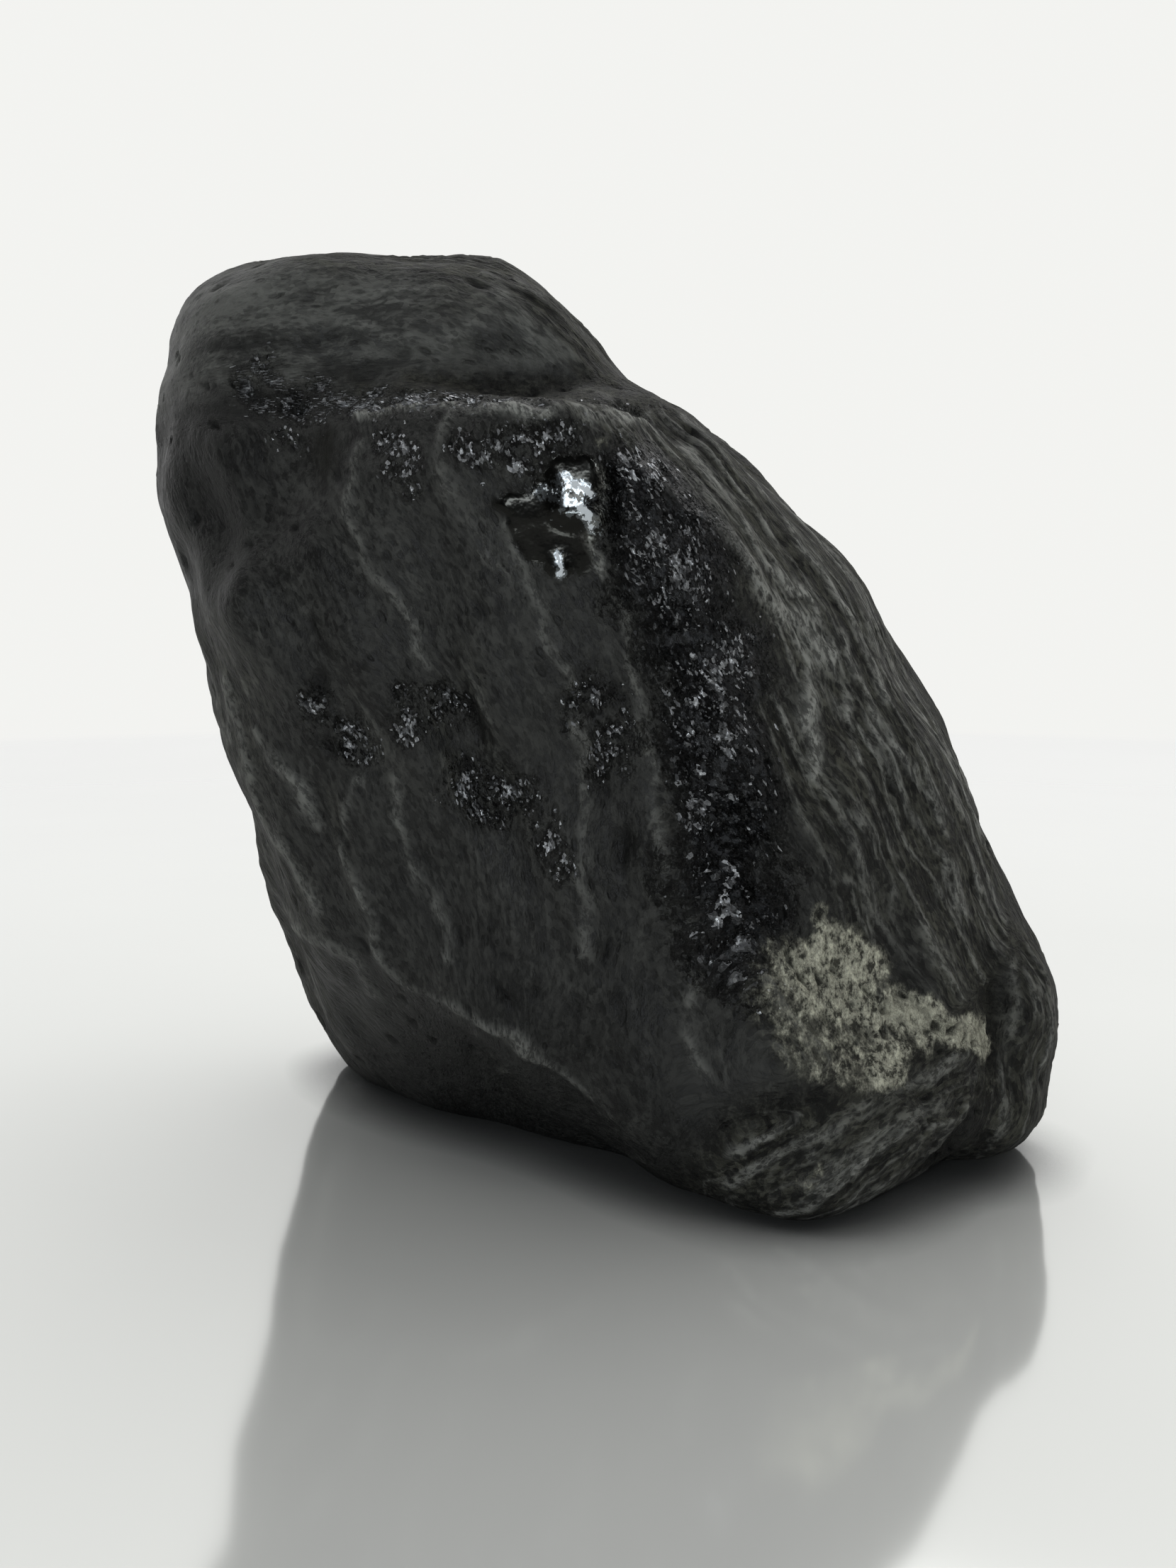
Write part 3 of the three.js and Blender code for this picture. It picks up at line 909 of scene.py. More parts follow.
    def dry_places(self, skin: Skin, stain: np.ndarray) -> np.ndarray:
        """Finds the dry, worn rock.

        Args:
            skin: The skin.
            stain: How far each point lies on the pale patch's surroundings.

        Returns:
            How dry each point is, before wet places are taken out.
        """
        x_part, _, up_part = skin.normals.T
        flank = smooth(self.dry_way[0] * x_part + self.dry_way[1] * up_part, *self.dry_span)
        left_side = smooth(-x_part, *self.left_side_span)
        left_side *= 1 - smooth(skin.points[:, 2], *self.left_side_top)
        toe, heel = self.foliation.on_toe(skin.points), self.foliation.on_heel(skin.points)
        parts = zip(self.dry_shares, (flank, left_side, toe, heel, stain))
        return np.maximum.reduce([share * part for share, part in parts])

    def painted_shade_places(self, skin: Skin, brow: np.ndarray) -> np.ndarray:
        """Finds what lies low, turned away or under the brow, where shade is painted on as a darker colour.

        Args:
            skin: The skin.
            brow: How far each point lies in the dark lines of the head.

        Returns:
            How much painted shade darkens each point.
        """
        x, _, up = skin.points.T
        low_face = (1 - smooth(up, *self.low_face_top)) * smooth(-skin.normals[:, 1], *self.low_face_front)
        low_face *= 1 - smooth(x, *self.low_face_right)
        left_slope = smooth(-x, *self.left_slope_span) * smooth(up, *self.left_slope_foot)
        left_slope *= 1 - smooth(up, *self.left_slope_top)
        under = smooth(-skin.normals[:, 2], *self.under_span)
        parts = zip(self.painted_shade_shares, (low_face, left_slope, under, brow))
        return np.clip(np.maximum.reduce([share * part for share, part in parts]), 0.0, 1.0)

    def film_thickness(self, points: np.ndarray) -> np.ndarray:
        """Works out the water film.

        Args:
            points: Points of the skin.

        Returns:
            How thick the film is, or would be, at each point.
        """
        risen = points[:, 2] - self.film_foot
        thickness = self.film_base + self.film_overhang * np.clip(risen, 0.0, self.film_bulge)
        thickness -= self.film_taper * np.clip(risen - self.film_bulge, 0.0, 5.0)
        return thickness + np.sum([lobe.swell(points) for lobe in self.lobes], axis=0)

    def fine_relief(self, skin: Skin) -> np.ndarray:
        """Works out ribs, pits and grains, and keeps the masks that follow them.

        Args:
            skin: The skin with its larger marks.

        Returns:
            Their height at each point.
        """
        points = skin.points
        grain = self.foliation.grain(points)
        film, wet, pale, dry = (self.masks[name] for name in ("film", "wet", "pale", "dry"))
        rib = self.foliation.ribs(grain, self.rib_spacing, 0.0)
        rib = rib + 0.5 * self.foliation.ribs(grain, 0.57 * self.rib_spacing, 6.0)
        ropes = drawn_out(grain, (4.2, 22.0, 5.0), 11.0)
        crumbs = drawn_out(grain, (0.9, 2.0, 1.0), 15.0)
        calm = (1 - 0.9 * wet) * (1 - pale)
        pairs = (self.rib_height, self.rope_height, self.crumb_height)
        rib_height, rope_height, crumb_height = (plain + more * dry for plain, more in pairs)
        height = rib_height * (rib - 0.4) * calm * self.masks["settled"]
        height += rope_height * ropes * (1 - pale) + crumb_height * crumbs

        near, second, chance = cells(points, (1.1, 1.1, 1.375))
        chunks = np.clip(second - near, 0.0, 0.6) * (0.4 + chance)
        height += self.chunk_height * wet * (chunks - 0.25)
        height += self.wet_wave_height * wet * wander(points, 1.1, 8.0)

        pit, _, chance = cells(grain, (2.2, 4.6, 2.2))
        hole = (1 - smooth(pit, 0.08, 0.30)) * (chance > 1 - self.pit_share) * (1 - pale)
        height -= self.pit_depth * hole

        dense, _, chance = cells(grain, (1.1, 1.9, 1.15))
        pocket = (1 - smooth(dense, 0.2, 0.55)) * (chance > 1 - self.pocket_share)
        brow = skin.along(*self.head_shades)
        crumbly = np.maximum.reduce([pale, 0.5 * self.foliation.on_toe(points), 0.55 * brow])
        height -= (self.pocket_depth * crumbly + self.wet_pocket_depth * wet) * pocket
        height += self.sugar_height * pale * wander(points, 0.9, 1.0)

        self.masks["streak"] = np.clip(rib, 0.0, 1.0) * calm * self.masks["settled"]
        # Where shade is painted into pits and pockets
        self.masks["hole"] = np.clip(hole + crumbly * pocket + 0.5 * wet * pocket, 0.0, 1.0) * (1 - film)
        return height * (1 - film)


# ---------------------------------------------------------------------------------------------
# Shader nodes
# ---------------------------------------------------------------------------------------------


class Tree:
    """Places shader nodes in a tree and links them."""

    def __init__(self, tree: bpy.types.NodeTree) -> None:
        """Takes a node tree to work in."""
        self.tree = tree

    def node(
        self, kind: str, inputs: dict[str | int, Value] | None = None, **settings: object
    ) -> bpy.types.Node:
        """Adds a node.

        Args:
            kind: Its Blender type.
            inputs: Values or sockets for its inputs, by name or number.
            **settings: Properties of the node.

        Returns:
            The node.
        """
        made = self.tree.nodes.new(kind)
        for name, value in settings.items():
            setattr(made, name, value)
        for name, value in (inputs or {}).items():
            self.feed(made.inputs[name], value)
        return made

    def feed(self, socket: Socket, value: Value) -> None:
        """Links a socket to another, or sets its own value.

        Args:
            socket: The socket to feed.
            value: The other socket, or a value.
        """
        if isinstance(value, Socket):
            self.tree.links.new(value, socket)
        else:
            socket.default_value = value

    def mask(self, name: str) -> Socket:
        """Returns a mask that the mesh carries."""
        return self.node("ShaderNodeAttribute", attribute_name=name).outputs["Fac"]

    def vector(self, name: str) -> Socket:
        """Returns a vector that the mesh carries."""
        return self.node("ShaderNodeAttribute", attribute_name=name).outputs["Vector"]

    def math(self, operation: str, *values: Number, clamp: bool = False) -> Socket:
        """Returns the result of an operation on two values, then on that and the next one."""
        steps = partial(self.node, "ShaderNodeMath", operation=operation, use_clamp=clamp)
        return reduce(lambda a, b: steps({0: a, 1: b}).outputs[0], values)

    def plus(self, *values: Number) -> Socket:
        """Returns the sum of some values."""
        return self.math("ADD", *values)

    def minus(self, value: Number, less: Number, clamp: bool = False) -> Socket:
        """Returns the difference of two values."""
        return self.math("SUBTRACT", value, less, clamp=clamp)

    def times(self, *values: Number, clamp: bool = False) -> Socket:
        """Returns the product of some values."""
        return self.math("MULTIPLY", *values, clamp=clamp)

    def over(self, value: Number, divisor: Number) -> Socket:
        """Returns the quotient of two values."""
        return self.math("DIVIDE", value, divisor)

    def most(self, *values: Number) -> Socket:
        """Returns the greatest of some values."""
        return self.math("MAXIMUM", *values)

    def vectors(self, operation: str, a: Value, b: Value) -> Socket:
        """Returns the vector that an operation makes of two vectors."""
        return self.node("ShaderNodeVectorMath", {0: a, 1: b}, operation=operation).outputs[0]

    def fit(
        self, value: Socket, low: float, high: float, to_low: float = 0.0, to_high: float = 1.0
    ) -> Socket:
        """Returns a value that runs smoothly from one end to the other between low and high."""
        ends = {"Value": value, "From Min": low, "From Max": high, "To Min": to_low, "To Max": to_high}
        return self.node("ShaderNodeMapRange", ends, interpolation_type="SMOOTHSTEP").outputs[0]

    def mix(self, share: Socket, below: Number, above: Number) -> Socket:
        """Returns a number that goes from one to another."""
        return self.node("ShaderNodeMix", {0: share, 2: below, 3: above}, data_type="FLOAT").outputs[0]

    def blend(self, share: Socket, below: Paint, above: Paint) -> Socket:
        """Returns a colour that goes from one to another."""
        return self.node("ShaderNodeMix", {0: share, 6: below, 7: above}, data_type="RGBA").outputs[2]


@dataclass(frozen=True)
class Noise:
    """Cloudy noise from 0 to 1.

    Attributes:
        size: Width of its features, in the unit of the place it is sampled at.
        roughness: How strong its finer layers are.
        detail: How many finer layers it has.
        stretch: Scales for the place's axes before the noise is sampled, if any.
    """

    size: float = 1.0
    roughness: float = 0.55
    detail: float = 3.0
    stretch: Triple | None = None

    def at(self, nodes: Tree, place: Socket) -> Socket:
        """Samples the noise.

        Args:
            nodes: The tree to work in.
            place: Where to sample it.

        Returns:
            Its value there.
        """
        if self.stretch:
            place = nodes.vectors("MULTIPLY", place, self.stretch)
        inputs = {"Vector": place, "Scale": 1 / self.size, "Detail": self.detail, "Roughness": self.roughness}
        return nodes.node("ShaderNodeTexNoise", inputs).outputs["Fac"]


class Group:
    """A shader node group with named inputs and outputs."""

    def __init__(self, name: str, inputs: dict[str, float | None], outputs: tuple[str, ...]) -> None:
        """Starts an empty group, whose outputs are all numbers.

        Args:
            name: The group's name.
            inputs: For each input, its default value, or None for a vector.
            outputs: The outputs' names.
        """
        self.tree = bpy.data.node_groups.new(name, "ShaderNodeTree")
        for label, default in inputs.items():
            kind = "NodeSocketVector" if default is None else "NodeSocketFloat"
            socket = self.tree.interface.new_socket(label, in_out="INPUT", socket_type=kind)
            if default is not None:
                socket.default_value = default
        for label in outputs:
            self.tree.interface.new_socket(label, in_out="OUTPUT", socket_type="NodeSocketFloat")
        self.nodes = Tree(self.tree)
        self.given = self.nodes.node("NodeGroupInput").outputs
        self.exit = self.nodes.node("NodeGroupOutput").inputs

    def give(self, label: str, value: Socket) -> None:
        """Sends a value out of the group."""
        self.nodes.feed(self.exit[label], value)

    def place(self, nodes: Tree, *values: Value) -> bpy.types.NodeOutputs:
        """Puts the group in a tree, with values for its inputs in their order, and returns its outputs."""
        return nodes.node("ShaderNodeGroup", dict(enumerate(values)), node_tree=self.tree).outputs

    def scaled_grain(self, across: Socket, along: Socket) -> Socket:
        """Returns the group's grain, scaled along the leaves apart from across and through them."""
        scale = self.nodes.node("ShaderNodeCombineXYZ", {"X": across, "Y": along, "Z": across}).outputs[0]
        return self.nodes.vectors("MULTIPLY", self.given["Grain"], scale)


def streak_group() -> Group:
    """Makes long parallel lines that follow the grain, waver, and come and go.

    Returns:
        A group that puts out Lines.
    """
    sway_width, kept_span, kept_stretch = 3.4, (0.40, 0.60), (0.8, 0.8, 0.8)
    sizes = {"Grain": None, "Spacing": 1.5, "Length": 12.0, "Width": 0.3}
    made = Group("Foliation streaks", sizes, ("Lines",))
    nodes, given = made.nodes, made.given
    place = made.scaled_grain(nodes.over(0.5, given["Spacing"]), nodes.over(1.0, given["Length"]))
    sway = nodes.times(nodes.minus(Noise().at(nodes, place), 0.5), sway_width)
    across = nodes.node("ShaderNodeSeparateXYZ", {0: given["Grain"]}).outputs["X"]
    away = nodes.math("PINGPONG", nodes.plus(nodes.over(across, given["Spacing"]), sway), 0.5)
    line = nodes.minus(1.0, nodes.over(away, given["Width"]), clamp=True)
    kept = nodes.fit(Noise(roughness=0.6, stretch=kept_stretch).at(nodes, place), *kept_span)
    made.give("Lines", nodes.times(line, kept))
    return made


def pit_group() -> Group:
    """Makes scattered hollows, stretched along the grain.

    Returns:
        A group that puts out Pits.
    """
    size_span, steepness = (0.0, 1.0, 0.25, 0.5), 6.0
    made = Group("Elongated pits", {"Grain": None, "Across": 1.0, "Along": 2.0, "Share": 0.4}, ("Pits",))
    nodes, given = made.nodes, made.given
    place = made.scaled_grain(nodes.over(1.0, given["Across"]), nodes.over(1.0, given["Along"]))
    holes = nodes.node("ShaderNodeTexVoronoi", {"Vector": place, "Scale": 1.0}).outputs
    chance = nodes.node("ShaderNodeSeparateColor", {0: holes["Color"]}).outputs
    picked = nodes.math("LESS_THAN", chance[0], given["Share"])
    inside = nodes.minus(nodes.fit(chance[1], *size_span), holes["Distance"])
    made.give("Pits", nodes.times(picked, nodes.times(inside, steepness, clamp=True)))
    return made


def facet_group() -> Group:
    """Makes crystal grains: cells that each tilt their own way, and differ in brightness.

    Returns:
        A group that puts out a Height, and a Chance and a Glow that are the same all over a grain.
    """
    made = Group("Crystal facets", {"Place": None, "Size": 0.5}, ("Height", "Chance", "Glow"))
    nodes, given = made.nodes, made.given
    scale = nodes.over(1.0, given["Size"])
    grains = nodes.node("ShaderNodeTexVoronoi", {"Vector": given["Place"], "Scale": scale}).outputs
    enlarge = {0: given["Place"], "Scale": scale}
    scaled = nodes.node("ShaderNodeVectorMath", enlarge, operation="SCALE").outputs[0]
    ends = {
        0: nodes.vectors("SUBTRACT", scaled, grains["Position"]),
        1: nodes.vectors("SUBTRACT", grains["Color"], (0.5, 0.5, 0.5)),
    }
    slope = nodes.node("ShaderNodeVectorMath", ends, operation="DOT_PRODUCT").outputs["Value"]
    made.give("Height", nodes.times(slope, given["Size"]))
    parts = nodes.node("ShaderNodeSeparateColor", {0: grains["Color"]}).outputs
    made.give("Chance", parts[2])
    made.give("Glow", parts[0])
    return made


# ---------------------------------------------------------------------------------------------
# The rock's finish
# ---------------------------------------------------------------------------------------------


@dataclass(frozen=True)
class RockFinish:
    """Colours, patterns and glosses of the rock.

    Colours are linear. A span says between which values a pattern runs, and then, where it has
    four numbers, what it runs from and to.
    """

    mask_names: tuple[str, ...] = (
        *("line", "wet", "glint", "film", "painted_highlight", "meniscus_highlight", "pale", "stain", "dry"),
        *("head", "painted_shade", "black", "olive", "streak", "hole", "heel", "settled"),
    )

    # The dull rock
    face: Shades = (shade(0.007, Tint.MOSS), shade(0.040, Tint.MOSS))
    face_span: Span = (0.38, 0.64)
    dry: Shades = (shade(0.006, Tint.OLIVE), shade(0.072, Tint.OLIVE))
    dry_span: Span = (0.42, 0.66)
    head: Shades = (shade(0.027, Tint.MOSS), shade(0.125, Tint.MOSS))
    head_span: Span = (0.42, 0.60)
    stained: Colour = shade(0.075, Tint.STRAW)
    stained_span: Span = (0.44, 0.60)
    # The dark painted as shade into pits, pockets, black hollows, the crease and the low, turned-away and
    # overhung places
    hole: Colour = shade(0.003)
    olive: Colour = (0.0040, 0.0039, 0.0020, 1.0)
    olive_cover: float = 0.95
    grit: Noise = Noise(1.0, 0.72, stretch=(2.2, 0.9, 2.2))
    grit_unsettled: Noise = Noise(0.5, 0.72)
    smear: Noise = Noise(1.0, 0.62, stretch=(0.62, 0.15, 0.62))
    smear_unsettled: Noise = Noise(1.8, 0.62)
    blotch: Noise = Noise(4.0, 0.6)
    bands: Noise = Noise(stretch=(0.09, 0.09, 0.45))
    fleck_stretch: Triple = (1.0, 0.42, 1.0)
    fleck_size: float = 0.3
    tone_shares: tuple[float, ...] = (0.34, 0.30, 0.20, 0.16)  # of grit, smear, blotch and flecks
    head_shares: tuple[float, float] = (0.55, 0.45)  # of the tone and the level bands
    crumb_spans: tuple[Span, Span] = ((0.34, 0.60), (0.0, 0.8, 0.45, 1.0))  # of grit and flecks
    # how dark the painted shade of low, turned-away and overhung places is
    painted_shade_depth: float = 0.75

    # Light lines along the foliation, and dark dots: pits with painted shade
    # the light lines' colour, also used for the painted highlight along the film's meniscus
    light_line_and_meniscus_highlight: Colour = shade(0.32, Tint.MOSS)
    bold: Triple = (1.9, 16.0, 0.20)  # spacing, length and width of a line
    fine: Triple = (0.85, 6.0, 0.30)
    dots: Triple = (0.6, 1.5, 0.40)  # size across and along the grain, and share of the places
    crest_span: Span = (0.35, 0.95, 0.0, 0.6)
    bold_share: float = 0.8
    fine_share: float = 0.22
    line_dry: Span = (0.0, 1.0, 0.06, 0.72)
    line_head: Span = (0.0, 1.0, 1.0, 0.45)
    line_head_least: float = 0.20
    line_heel: Span = (0.0, 1.0, 1.0, 0.8)
    line_crumbs: Span = (0.0, 0.75, 0.25, 1.0)
    mark_strength: float = 1.1
    wet_hides: float = 0.9
    dot_dry: Span = (0.0, 1.0, 0.4, 0.7)

    # The wet rock and its glints: mineral flakes whose light colours also stand in for painted glints
    wet: Shades = (shade(0.003, Tint.BLUE), shade(0.036, Tint.BLUE))
    wet_span: Span = (0.42, 0.66)
    wet_cover: float = 0.95
    # Mineral flakes, lightened to stand in for glints: painted highlight as well as metal
    flake_with_painted_glint: Shades = (shade(0.15, Tint.ICE), shade(0.66, Tint.ICE))
    flake_metal: float = 0.45
    flake_share: float = 1.05
    flakes_when_wet: float = 0.10
    flake_glow: Span = (0.3, 1.0)
    crystal_stretch: Triple = (1.0, 0.45, 1.0)
    crystal_size: float = 0.20
    chip_stretch: Triple = (1.0, 1.0, 0.8)
    chip_size: float = 0.27
    chip_share: float = 0.36
    chips_lost_when_wet: float = 0.8
    chip_glow: Span = (0.2, 0.9)
    cluster: Noise = Noise(1.5, 0.75)
    cluster_span: Span = (0.42, 0.62)
    flake_covers_hole: float = 0.8

    # The water film and its painted highlight: light colours stand in for a window's reflection
    film: Colour = (0.022, 0.022, 0.020, 1.0)
    film_metal: float = 0.90
    painted_highlight: Colour = (0.66, 0.70, 0.73, 1.0)
    painted_highlight_grey: Colour = (0.13, 0.14, 0.145, 1.0)
    painted_highlight_metal: float = 0.0
    painted_highlight_edge: Noise = Noise(0.6, 0.7)
    painted_highlight_fray: float = 1.7
    painted_highlight_span: Span = (0.68, 0.76)
    painted_highlight_grey_span: Span = (0.36, 0.44)
    ripple: Noise = Noise(0.9, 0.6, 2.0)
    ripple_height: float = 0.045

    # The pale sugary patch
    pale: Shades = (shade(0.048, Tint.STRAW), shade(0.38, Tint.STRAW))
    pale_span: Span = (0.38, 0.54)
    pale_light: Colour = shade(0.70, Tint.STRAW)
    pale_light_span: Span = (0.52, 0.68)
    pale_tail: Colour = shade(0.50, Tint.STRAW)
    pale_tail_span: Span = (0.95, 1.2, 0.0, 0.45)
    pale_dark_span: Span = (0.40, 0.75, 0.6, 0.0)
    pale_clears: float = 0.3  # how much being paler keeps dark patches away
    pale_edge: Span = (0.0, 0.3)
    sugar: Noise = Noise(0.65, 0.78, stretch=(1.0, 1.0, 0.65))
    patches: Noise = Noise(1.6, 0.6)
    torn_shares: tuple[float, float] = (0.9, 0.8)  # of sugar and patches
    torn_span: Span = (0.95, 1.75)
    torn_hole: Span = (0.1, 0.9, 1.0, 0.15)

    # Gloss
    rough_dull: Span = (0.0, 1.0, 0.52, 0.75)
    rough_tone: Span = (0.38, 0.62, -0.08, 0.1)
    rough_pale: float = 0.75
    rough_wet: float = 0.30
    rough_olive: float = 0.6
    rough_film: float = 0.17
    rough_painted_highlight: float = 0.38
    specular: float = 0.22

    # Fine relief, in millimetres
    line_rise: Span = (0.0, 1.0, 0.02, 0.14)
    fine_rise_share: float = 0.4
    crumb_rise: Span = (0.0, 1.0, 0.07, 0.14)
    dot_depth: Span = (0.0, 1.0, 0.08, 0.15)
    sugar_rise: float = 0.6
    chip_rise_share: float = 0.6
    glint_rise_share: float = 0.6
    cluster_rise: Span = (0.0, 1.0, 0.3, 1.0)


class RockPainter:
    """Lays the rock's colours over each other, then its gloss and fine relief."""

    def __init__(self, finish: RockFinish, streaks: Group, pits: Group, facets: Group) -> None:
        """Starts the material and makes the patterns that its layers share.

        Args:
            finish: The rock's values.
            streaks: The group that draws lines along the grain.
            pits: The group that scatters hollows.
            facets: The group that breaks the wet rock into crystal grains.
        """
        self.finish = finish
        self.material = bpy.data.materials.new("Dark foliated rock")
        self.material.use_nodes = True
        self.nodes = nodes = Tree(self.material.node_tree)
        self.masks = {name: nodes.mask(name) for name in finish.mask_names}
        self.dull = nodes.minus(1.0, self.masks["film"])
        grain = nodes.vector("grain")
        position = nodes.node("ShaderNodeTexCoord").outputs["Object"]
        self.place = place = nodes.vectors("MULTIPLY", position, (1 / MM, 1 / MM, 1 / MM))

        settled = self.masks["settled"]
        self.grit = nodes.mix(settled, finish.grit_unsettled.at(nodes, place), finish.grit.at(nodes, grain))
        smear = nodes.mix(settled, finish.smear_unsettled.at(nodes, place), finish.smear.at(nodes, grain))
        fleck_place = nodes.vectors("MULTIPLY", grain, finish.fleck_stretch)
        flecks = nodes.mix(settled, 0.5, facets.place(nodes, fleck_place, finish.fleck_size)["Glow"])
        layers = (self.grit, smear, finish.blotch.at(nodes, place), flecks)
        self.tone = nodes.plus(*(nodes.times(*pair) for pair in zip(layers, finish.tone_shares)))
        of_grit, of_flecks = finish.crumb_spans
        self.crumbs = nodes.times(nodes.fit(self.grit, *of_grit), nodes.fit(flecks, *of_flecks))
        self.bold = streaks.place(nodes, grain, *finish.bold)["Lines"]
        self.fine = streaks.place(nodes, grain, *finish.fine)["Lines"]
        self.dots = pits.place(nodes, grain, *finish.dots)["Pits"]

        crystal_place = nodes.vectors("MULTIPLY", grain, finish.crystal_stretch)
        self.crystals = facets.place(nodes, crystal_place, finish.crystal_size)
        chip_place = nodes.vectors("MULTIPLY", place, finish.chip_stretch)
        self.chips = facets.place(nodes, chip_place, finish.chip_size)
        self.cluster = nodes.fit(finish.cluster.at(nodes, place), *finish.cluster_span)
        self.sugar = finish.sugar.at(nodes, place)
        self.colour = nodes.blend(nodes.fit(self.tone, *finish.face_span), *finish.face)

    def cover(self, share: Socket, paint: Paint) -> None:
        """Lays a colour over what is there, by a share."""
        self.colour = self.nodes.blend(share, self.colour, paint)

    def lay_rock(self) -> None:
        """Lays the mottled greys of the head and of the dry sides over those of the face."""
        nodes, masks, finish = self.nodes, self.masks, self.finish
        layers = (self.tone, finish.bands.at(nodes, self.place))
        layered = nodes.plus(*(nodes.times(*pair) for pair in zip(layers, finish.head_shares)))
        self.cover(masks["head"], nodes.blend(nodes.fit(layered, *finish.head_span), *finish.head))
        self.cover(masks["dry"], nodes.blend(nodes.fit(self.tone, *finish.dry_span), *finish.dry))
        self.cover(nodes.times(masks["stain"], nodes.fit(self.tone, *finish.stained_span)), finish.stained)

    def lay_lines(self) -> None:
        """Lays the light lines, and paints shade into the dots between them and into the low, turned-away and
        overhung places.
        """
        nodes, masks, finish = self.nodes, self.masks, self.finish
        crest = nodes.fit(masks["streak"], *finish.crest_span)
        bold, fine = nodes.times(self.bold, finish.bold_share), nodes.times(self.fine, finish.fine_share)
        on_dry = nodes.times(
            nodes.fit(masks["dry"], *finish.line_dry), nodes.fit(masks["head"], *finish.line_head)
        )
        strength = nodes.most(on_dry, nodes.times(masks["head"], finish.line_head_least))
        strength = nodes.times(strength, nodes.fit(masks["heel"], *finish.line_heel))
        lines = nodes.times(nodes.plus(crest, bold, fine), nodes.times(strength, masks["settled"]))
        lines = nodes.most(lines, nodes.times(masks["line"], finish.mark_strength, clamp=True))
        lines = nodes.times(lines, nodes.fit(self.crumbs, *finish.line_crumbs))
        hidden = nodes.most(nodes.times(masks["wet"], finish.wet_hides), masks["film"])
        self.cover(nodes.times(lines, nodes.minus(1.0, hidden)), finish.light_line_and_meniscus_highlight)
        # Painted shade in the dots
        self.cover(nodes.times(self.dots, nodes.fit(masks["dry"], *finish.dot_dry)), finish.hole)
        # Painted shade of low, turned-away and overhung places
        self.cover(nodes.times(masks["painted_shade"], finish.painted_shade_depth), finish.hole)

    def lay_wet(self) -> Socket:
        """Lays the sooty wet rock with its flakes, painted light to stand in for glints, and paints shade
        into the holes.

        Returns:
            Where the flakes are, which carry the painted glints.
        """
        nodes, masks, finish = self.nodes, self.masks, self.finish
        wet, glint = masks["wet"], masks["glint"]
        sooty = nodes.blend(nodes.fit(self.grit, *finish.wet_span), *finish.wet)
        self.cover(nodes.times(wet, finish.wet_cover), sooty)
        lively = nodes.most(nodes.times(wet, finish.flakes_when_wet), glint)
        small = nodes.times(lively, self.cluster, finish.flake_share)
        small = nodes.math("LESS_THAN", self.crystals["Chance"], small)
        large = nodes.minus(glint, nodes.times(wet, finish.chips_lost_when_wet))
        large = nodes.times(large, finish.chip_share, self.cluster)
        large = nodes.math("LESS_THAN", self.chips["Chance"], large)
        shiny = nodes.times(nodes.most(small, large), self.dull)
        glow = nodes.most(
            nodes.times(small, nodes.fit(self.crystals["Glow"], *finish.flake_glow)),
            nodes.times(large, nodes.fit(self.chips["Glow"], *finish.chip_glow)),
        )
        self.cover(shiny, nodes.blend(glow, *finish.flake_with_painted_glint))
        self.cover(nodes.times(masks["olive"], finish.olive_cover), finish.olive)
        # Painted shade in the pits and pockets that no flake covers, and in the black hollows and the crease
        gap = nodes.times(masks["hole"], nodes.minus(finish.flake_covers_hole, shiny, clamp=True))
        self.cover(gap, finish.hole)
        self.cover(masks["black"], finish.hole)
        return shiny

    def lay_film(self) -> Socket:
        """Lays the water film with its painted highlight and the painted highlight along its meniscus.

        Returns:
            Where the highlight is painted on the film.
        """
        nodes, masks, finish = self.nodes, self.masks, self.finish
        self.cover(masks["film"], finish.film)
        torn_edge = nodes.minus(finish.painted_highlight_edge.at(nodes, self.place), 0.5)
        painted_highlight = nodes.plus(masks["painted_highlight"], nodes.times(torn_edge, finish.painted_highlight_fray))
        self.cover(nodes.times(nodes.fit(painted_highlight, *finish.painted_highlight_grey_span), masks["film"]), finish.painted_highlight_grey)
        painted_highlight = nodes.times(nodes.fit(painted_highlight, *finish.painted_highlight_span), masks["film"])
        self.cover(painted_highlight, finish.painted_highlight)
        # Painted highlight along the film's meniscus, in the light lines' colour
        self.cover(nodes.times(masks["meniscus_highlight"], self.crumbs), finish.light_line_and_meniscus_highlight)
        return painted_highlight

    def lay_patch(self) -> None:
        """Lays the pale sugary crust, torn at its edge and open over the holes."""
        nodes, finish, pale = self.nodes, self.finish, self.masks["pale"]
        patches = finish.patches.at(nodes, self.place)
        crust = nodes.blend(nodes.fit(self.sugar, *finish.pale_span), *finish.pale)
        crust = nodes.blend(nodes.fit(self.sugar, *finish.pale_light_span), crust, finish.pale_light)
        crust = nodes.blend(nodes.fit(pale, *finish.pale_tail_span), crust, finish.pale_tail)
        dark = nodes.fit(nodes.plus(patches, nodes.times(pale, finish.pale_clears)), *finish.pale_dark_span)
        crust = nodes.blend(dark, crust, finish.pale[0])
        layers = zip((self.sugar, patches), finish.torn_shares)
        torn = nodes.fit(nodes.plus(pale, *(nodes.times(*pair) for pair in layers)), *finish.torn_span)
        torn = nodes.times(torn, nodes.fit(self.masks["hole"], *finish.torn_hole))
        self.cover(nodes.times(torn, nodes.fit(pale, *finish.pale_edge)), crust)

